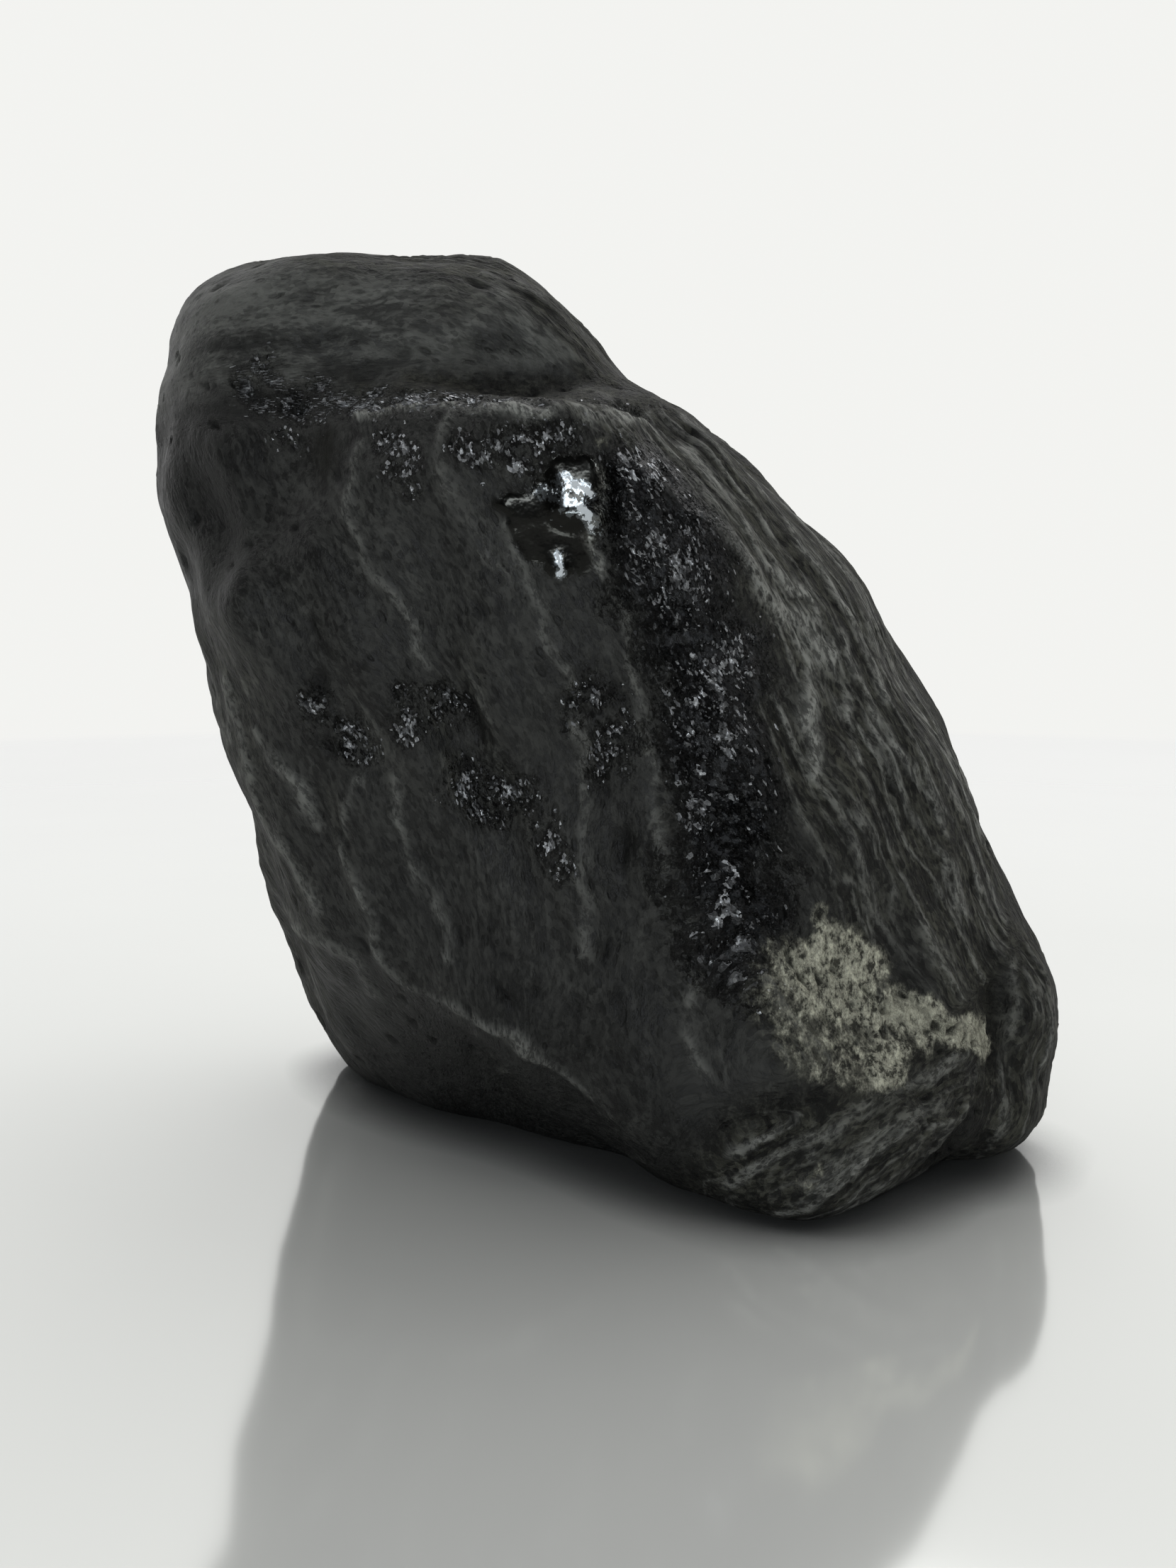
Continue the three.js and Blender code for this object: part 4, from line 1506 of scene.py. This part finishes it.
    def roughness(self, shiny: Socket, painted_highlight: Socket) -> Socket:
        """Works out the rock's roughness.

        Args:
            shiny: Where it glints.
            painted_highlight: Where the highlight is painted on the film.

        Returns:
            The roughness, from 0 to 1.
        """
        nodes, masks, finish = self.nodes, self.masks, self.finish
        rough = nodes.fit(masks["dry"], *finish.rough_dull)
        rough = nodes.plus(rough, nodes.fit(self.tone, *finish.rough_tone))
        rough = nodes.most(rough, nodes.times(masks["pale"], finish.rough_pale))
        rough = nodes.mix(nodes.most(masks["wet"], shiny), rough, finish.rough_wet)
        rough = nodes.mix(masks["olive"], rough, finish.rough_olive)
        rough = nodes.mix(masks["film"], rough, finish.rough_film)
        return nodes.mix(painted_highlight, rough, finish.rough_painted_highlight)

    def relief(self) -> Socket:
        """Raises lines, crumbs, sugar, crystals and ripples, and sinks the dots.

        Returns:
            The height, in millimetres.
        """
        nodes, masks, finish = self.nodes, self.masks, self.finish
        dry, film = masks["dry"], masks["film"]
        raised = nodes.times(nodes.fit(dry, *finish.line_rise), masks["settled"])
        lines = nodes.times(nodes.plus(self.bold, nodes.times(self.fine, finish.fine_rise_share)), raised)
        crumbs = nodes.times(self.crumbs, nodes.fit(dry, *finish.crumb_rise))
        dots = nodes.times(self.dots, nodes.fit(dry, *finish.dot_depth))
        sugar = nodes.times(self.sugar, nodes.times(masks["pale"], finish.sugar_rise))
        grains = nodes.plus(
            self.crystals["Height"], nodes.times(self.chips["Height"], finish.chip_rise_share)
        )
        sparse = nodes.most(masks["wet"], nodes.times(masks["glint"], finish.glint_rise_share))
        grains = nodes.times(grains, nodes.times(sparse, nodes.fit(self.cluster, *finish.cluster_rise)))
        height = nodes.plus(nodes.minus(nodes.plus(lines, crumbs), dots), sugar, grains)
        ripple = nodes.times(finish.ripple.at(nodes, self.place), nodes.times(film, finish.ripple_height))
        return nodes.plus(nodes.times(height, self.dull), ripple)

    def paint(self) -> bpy.types.Material:
        """Lays every layer.

        Returns:
            The rock's material.
        """
        nodes, finish = self.nodes, self.finish
        self.lay_rock()
        self.lay_lines()
        shiny = self.lay_wet()
        painted_highlight = self.lay_film()
        self.lay_patch()
        metal = nodes.times(shiny, finish.flake_metal)
        metal = nodes.most(metal, nodes.times(self.masks["film"], finish.film_metal))
        bump = nodes.node("ShaderNodeBump", {"Height": self.relief(), "Distance": MM, "Strength": 1.0})
        shader = self.material.node_tree.nodes["Principled BSDF"].inputs
        nodes.feed(shader["Base Color"], self.colour)
        nodes.feed(shader["Roughness"], self.roughness(shiny, painted_highlight))
        nodes.feed(shader["Metallic"], nodes.mix(painted_highlight, metal, finish.painted_highlight_metal))
        nodes.feed(shader["Normal"], bump.outputs["Normal"])
        nodes.feed(shader["Specular IOR Level"], finish.specular)
        return self.material


# ---------------------------------------------------------------------------------------------
# Studio
# ---------------------------------------------------------------------------------------------


@dataclass(frozen=True)
class Softbox:
    """An area light, with its place and size in metres and its power in watts."""

    name: str
    place: Triple
    target: Triple
    width: float
    depth: float
    power: float
    colour: Triple = (1.0, 1.0, 1.0)

    def build(self) -> bpy.types.Object:
        """Adds the light to the scene.

        Returns:
            The light.
        """
        data = bpy.data.lights.new(self.name, "AREA")
        data.shape = "RECTANGLE"
        data.size = self.width
        data.size_y = self.depth
        data.energy = self.power
        data.color = self.colour
        lamp = bpy.data.objects.new(self.name, data)
        lamp.location = self.place
        lamp.rotation_euler = (Vector(self.target) - Vector(self.place)).to_track_quat("-Z", "Y").to_euler()
        lamp.visible_camera = False
        bpy.context.scene.collection.objects.link(lamp)
        return lamp


@dataclass(frozen=True)
class Camera:
    """A phone's wide lens, held level with the stone's middle and tipped down a little."""

    place: Triple = (0.66, -122.24, 46.0)
    tip_down: float = math.radians(6.56)
    half_height: float = math.radians(63.4 / 2)  # half the field of view on the long side
    sensor: float = 36.0
    clip_start: float = 0.01  # metres

    def build(self) -> bpy.types.Object:
        """Adds the camera and makes it the scene's own.

        Returns:
            The camera.
        """
        data = bpy.data.cameras.new("Camera")
        data.sensor_width = self.sensor
        data.sensor_fit = "AUTO"
        data.lens = self.sensor / 2 / math.tan(self.half_height)
        data.clip_start = self.clip_start
        camera = bpy.data.objects.new("Camera", data)
        camera.location = Vector(self.place) * MM
        camera.rotation_euler = (math.pi / 2 - self.tip_down, 0.0, 0.0)
        bpy.context.scene.collection.objects.link(camera)
        bpy.context.scene.camera = camera
        return camera


@dataclass(frozen=True)
class Studio:
    """A pale polished floor that runs out into a pale surround, lit softly from above and behind.

    Its lengths are metres.
    """

    floor_radius: float = 0.62
    floor_sides: int = 96
    fade: Span = (0.49, 0.55)
    floor_colour: Colour = (0.92, 0.93, 0.895, 1.0)
    floor_metal: float = 0.42
    floor_roughness: float = 0.10
    soil: Noise = Noise(0.09, detail=4.0)
    soil_span: Span = (0.3, 0.7)
    soiled: float = 0.975  # of the clean floor's colour
    contact_reach: float = 0.006  # distance from the stone at which the floor stops darkening
    contact_span: Span = (0.25, 0.95)
    contact_shade: Colour = shade(0.15)
    contact_samples: int = 3
    surround: Colour = (0.895, 0.897, 0.875, 1.0)
    light_way: Triple = (0.22, 0.8, 0.45)
    light_span: Span = (-0.22, 0.46, 0.03, 0.90)
    skirting: float = 0.03  # how much lighter the foot of the surround is
    skirting_up: Span = (0.34, 0.26)
    skirting_back: Span = (0.2, 0.6)
    boxes: tuple[Softbox, ...] = (
        Softbox("Overhead light", (0.12, 0.25, 0.50), (0.0, 0.0, 0.05), 0.5, 0.4, 0.95),
        Softbox(
            *("Window", (-0.150, -0.481, 0.171), (0.0, -0.02, 0.05)),
            *(0.20, 0.08, 0.70, (0.90, 0.95, 1.0)),
        ),
    )

    def build(self) -> list[bpy.types.Object]:
        """Adds the floor, the surround and the lights.

        Returns:
            The floor and the lights.
        """
        bpy.context.scene.view_settings.view_transform = "Standard"
        self.light_world()
        return [self.floor(), *(box.build() for box in self.boxes)]

    def floor(self) -> bpy.types.Object:
        """Adds a round floor whose rim fades into the surround.

        Returns:
            The floor.
        """
        shape = bmesh.new()
        bmesh.ops.create_circle(shape, cap_ends=True, segments=self.floor_sides, radius=self.floor_radius)
        mesh = bpy.data.meshes.new("floor")
        shape.to_mesh(mesh)
        shape.free()
        mesh.materials.append(self.floor_material())
        floor = bpy.data.objects.new("floor", mesh)
        bpy.context.scene.collection.objects.link(floor)
        return floor

    def floor_material(self) -> bpy.types.Material:
        """Makes the floor's polished white, with a contact shadow painted in near the stone.

        Returns:
            The material.
        """
        made = bpy.data.materials.new("Pale floor")
        made.use_nodes = True
        nodes = Tree(made.node_tree)
        shader = made.node_tree.nodes["Principled BSDF"]
        place = nodes.node("ShaderNodeTexCoord").outputs["Object"]
        away = nodes.node("ShaderNodeVectorMath", {0: place}, operation="LENGTH").outputs["Value"]
        soiled = (*(self.soiled * level for level in self.floor_colour[:3]), 1.0)
        worn = nodes.blend(nodes.fit(self.soil.at(nodes, place), *self.soil_span), self.floor_colour, soiled)
        # Painted contact shadow: the floor's colour darkens where ambient occlusion finds the stone close by
        reach = {"Distance": self.contact_reach}
        near = nodes.node("ShaderNodeAmbientOcclusion", reach, samples=self.contact_samples).outputs["AO"]
        colour = nodes.blend(nodes.fit(near, *self.contact_span), self.contact_shade, worn)
        nodes.feed(shader.inputs["Base Color"], colour)
        nodes.feed(shader.inputs["Metallic"], self.floor_metal)
        nodes.feed(shader.inputs["Roughness"], self.floor_roughness)
        glow = nodes.node("ShaderNodeEmission", {"Color": self.surround, "Strength": 1.0}).outputs[0]
        sides = {0: nodes.fit(away, *self.fade), 1: shader.outputs[0], 2: glow}
        both = nodes.node("ShaderNodeMixShader", sides).outputs[0]
        nodes.feed(made.node_tree.nodes["Material Output"].inputs["Surface"], both)
        return made

    def light_world(self) -> None:
        """Makes a surround that is bright above and behind the stone and dim in front of it."""
        world = bpy.data.worlds.new("Surround")
        world.use_nodes = True
        bpy.context.scene.world = world
        nodes = Tree(world.node_tree)
        way = nodes.node("ShaderNodeTexCoord").outputs["Generated"]
        aside, back, up = nodes.node("ShaderNodeSeparateXYZ", {0: way}).outputs
        to_aside, to_back, to_up = self.light_way
        way_in = nodes.plus(nodes.times(back, to_back), nodes.times(up, to_up), nodes.times(aside, to_aside))
        level = nodes.fit(way_in, *self.light_span)
        foot = nodes.times(nodes.fit(up, *self.skirting_up), nodes.fit(back, *self.skirting_back))
        level = nodes.plus(level, nodes.times(foot, self.skirting))
        light = nodes.node("ShaderNodeCombineColor", {0: level, 1: level, 2: level}).outputs[0]
        seen = nodes.node("ShaderNodeLightPath").outputs["Is Camera Ray"]
        sky = world.node_tree.nodes["Background"]
        nodes.feed(sky.inputs["Color"], nodes.blend(seen, light, self.surround))


def main() -> None:
    """Builds the camera, the stone and the studio, and reports each piece."""
    logging.basicConfig(level=logging.INFO, format="%(message)s")
    log = logging.getLogger("stone")
    camera = Camera().build()
    log.info("camera with a %.1f mm lens", camera.data.lens)
    rock = RockPainter(RockFinish(), streak_group(), pit_group(), facet_group()).paint()
    piece = Stone().build(rock)
    log.info("%s: %d faces", piece.name, len(piece.data.polygons))
    for part in Studio().build():
        log.info("studio: %s", part.name)


if __name__ == "__main__":
    main()
